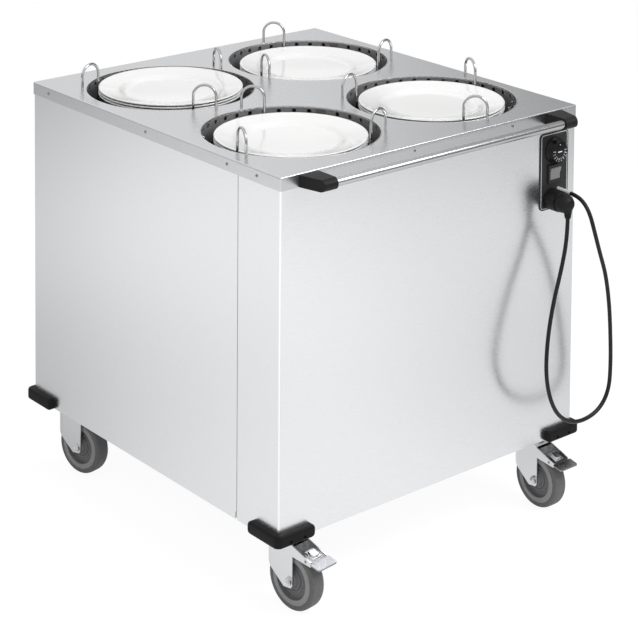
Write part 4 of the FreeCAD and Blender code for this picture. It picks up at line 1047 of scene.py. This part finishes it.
def shade_round(tree, position, centre, stops):
    """A number that follows the distance from a point of the floor."""
    reach = tree.nodes.new("ShaderNodeVectorMath")
    reach.operation = "DISTANCE"
    reach.inputs[1].default_value = (centre[0], centre[1] + MID_Y, 0)
    tree.links.new(position, reach.inputs[0])
    return curve_of(tree, reach.outputs["Value"], stops)


def stage_floor():
    """White floor that keeps the shadow; it glows, and metal sees the glow as a painted pool of light
    falling off to the right and to the back, with painted shadows.
    """
    mat, tree, shader = new_material("floor", (0.9, 0.9, 0.9), 0.0, 0.9)
    field = noise_field(tree, (1, 1, 1), 3)
    shaded(tree, shader, field, (0.90, 0.90, 0.90), (0.92, 0.92, 0.92))
    paths = tree.nodes.new("ShaderNodeLightPath")
    camera_ray = paths.outputs["Is Camera Ray"]
    glossy_ray = paths.outputs["Is Glossy Ray"]
    place = tree.nodes.new("ShaderNodeNewGeometry")
    split = tree.nodes.new("ShaderNodeSeparateXYZ")
    tree.links.new(place.outputs["Position"], split.inputs["Vector"])
    # Painted light and shade in the glow that metal sees
    right = curve_of(tree, split.outputs["X"], FLOOR_RIGHT)
    back = curve_of(tree, split.outputs["Y"], FLOOR_BACK)
    pool = combined(tree, "MULTIPLY", right, back)
    for centre, stops in [((0, 0), FLOOR_NEAR)] + FLOOR_SHADES:
        pool = combined(tree, "MULTIPLY", pool, shade_round(tree, place.outputs["Position"], centre, stops))
    slanted = combined(tree, "MULTIPLY", split.outputs["X"], SHADOW_SLOPE)
    across = combined(tree, "ADD", split.outputs["Y"], slanted)
    behind = combined(tree, "LESS_THAN", split.outputs["X"], SHADOW_START_X)
    cast = curve_of(tree, across, SHADOW_EDGE)
    cast = combined(tree, "MAXIMUM", cast, combined(tree, "SUBTRACT", 1.0, behind))
    pool = combined(tree, "MULTIPLY", pool, cast)
    mirrored = combined(tree, "MULTIPLY", pool, FLOOR_GLOSSY)
    seen = combined(tree, "MULTIPLY", camera_ray, FLOOR_CAMERA)
    strength = combined(tree, "ADD", seen, combined(tree, "MULTIPLY", mirrored, glossy_ray))
    share = combined(tree, "ADD", combined(tree, "MULTIPLY", camera_ray, FLOOR_CAMERA_SHARE),
                     combined(tree, "MULTIPLY", glossy_ray, FLOOR_GLOSSY_SHARE))
    glow = tree.nodes.new("ShaderNodeEmission")
    mix = tree.nodes.new("ShaderNodeMixShader")
    tree.links.new(strength, glow.inputs["Strength"])
    tree.links.new(share, mix.inputs["Fac"])
    tree.links.new(shader.outputs["BSDF"], mix.inputs[1])
    tree.links.new(glow.outputs["Emission"], mix.inputs[2])
    tree.links.new(mix.outputs["Shader"], tree.nodes["Material Output"].inputs["Surface"])
    data = bpy.data.meshes.new("floor")
    turns = ((-1, -1), (1, -1), (1, 1), (-1, 1))
    corners = [(side * FLOOR_HALF, face * FLOOR_HALF, 0) for side, face in turns]
    data.from_pydata(corners, [], [(0, 1, 2, 3)])
    data.materials.append(mat)
    obj = bpy.data.objects.new("floor", data)
    bpy.context.scene.collection.objects.link(obj)


def studio_world():
    """White to the eye, soft ambient light, and a studio that darkens to the right for metal."""
    world = bpy.data.worlds.new("studio")
    bpy.context.scene.world = world
    world.use_nodes = True
    tree = world.node_tree
    backdrop = tree.nodes["Background"]
    backdrop.inputs["Color"].default_value = (1, 1, 1, 1)
    paths = tree.nodes.new("ShaderNodeLightPath")
    place = tree.nodes.new("ShaderNodeTexCoord")
    split = tree.nodes.new("ShaderNodeSeparateXYZ")
    tree.links.new(place.outputs["Generated"], split.inputs["Vector"])
    height = curve_of(tree, split.outputs["Z"], SKY_HEIGHT)
    right = curve_of(tree, split.outputs["X"], SKY_RIGHT)
    mirrored = combined(tree, "MULTIPLY", combined(tree, "MULTIPLY", height, right), SKY_GLOSSY)
    clear = combined(tree, "MAXIMUM", paths.outputs["Is Camera Ray"], paths.outputs["Is Transmission Ray"])
    glossy = paths.outputs["Is Glossy Ray"]
    plain = combined(tree, "SUBTRACT", 1.0, combined(tree, "MAXIMUM", clear, glossy))
    total = combined(tree, "ADD", clear, combined(tree, "MULTIPLY", mirrored, glossy))
    total = combined(tree, "ADD", total, combined(tree, "MULTIPLY", plain, SKY_AMBIENT))
    tree.links.new(total, backdrop.inputs["Strength"])


def area_light(name, spot, target, size, power, mirrored=True):
    """Round soft lamp, which metal need not mirror."""
    data = bpy.data.lights.new(name, "AREA")
    data.shape = "DISK"
    data.size = size
    data.energy = power
    obj = bpy.data.objects.new(name, data)
    obj.location = spot
    obj.visible_glossy = mirrored
    obj.rotation_euler = (Vector(target) - Vector(spot)).to_track_quat("-Z", "Y").to_euler()
    bpy.context.scene.collection.objects.link(obj)


stage_floor()
studio_world()
area_light("key", (1.5, -2.6, 3.2), (0, 0, 0.6), 2.0, 66)
area_light("fill", (-2.4, -2.2, 2.4), (0, 0, 0.5), 2.2, 25, mirrored=False)
area_light("top", (0, 0.2, 3.6), (0, 0.2, 0.9), 2.4, 24, mirrored=False)

bpy.context.scene.view_settings.view_transform = "Standard"
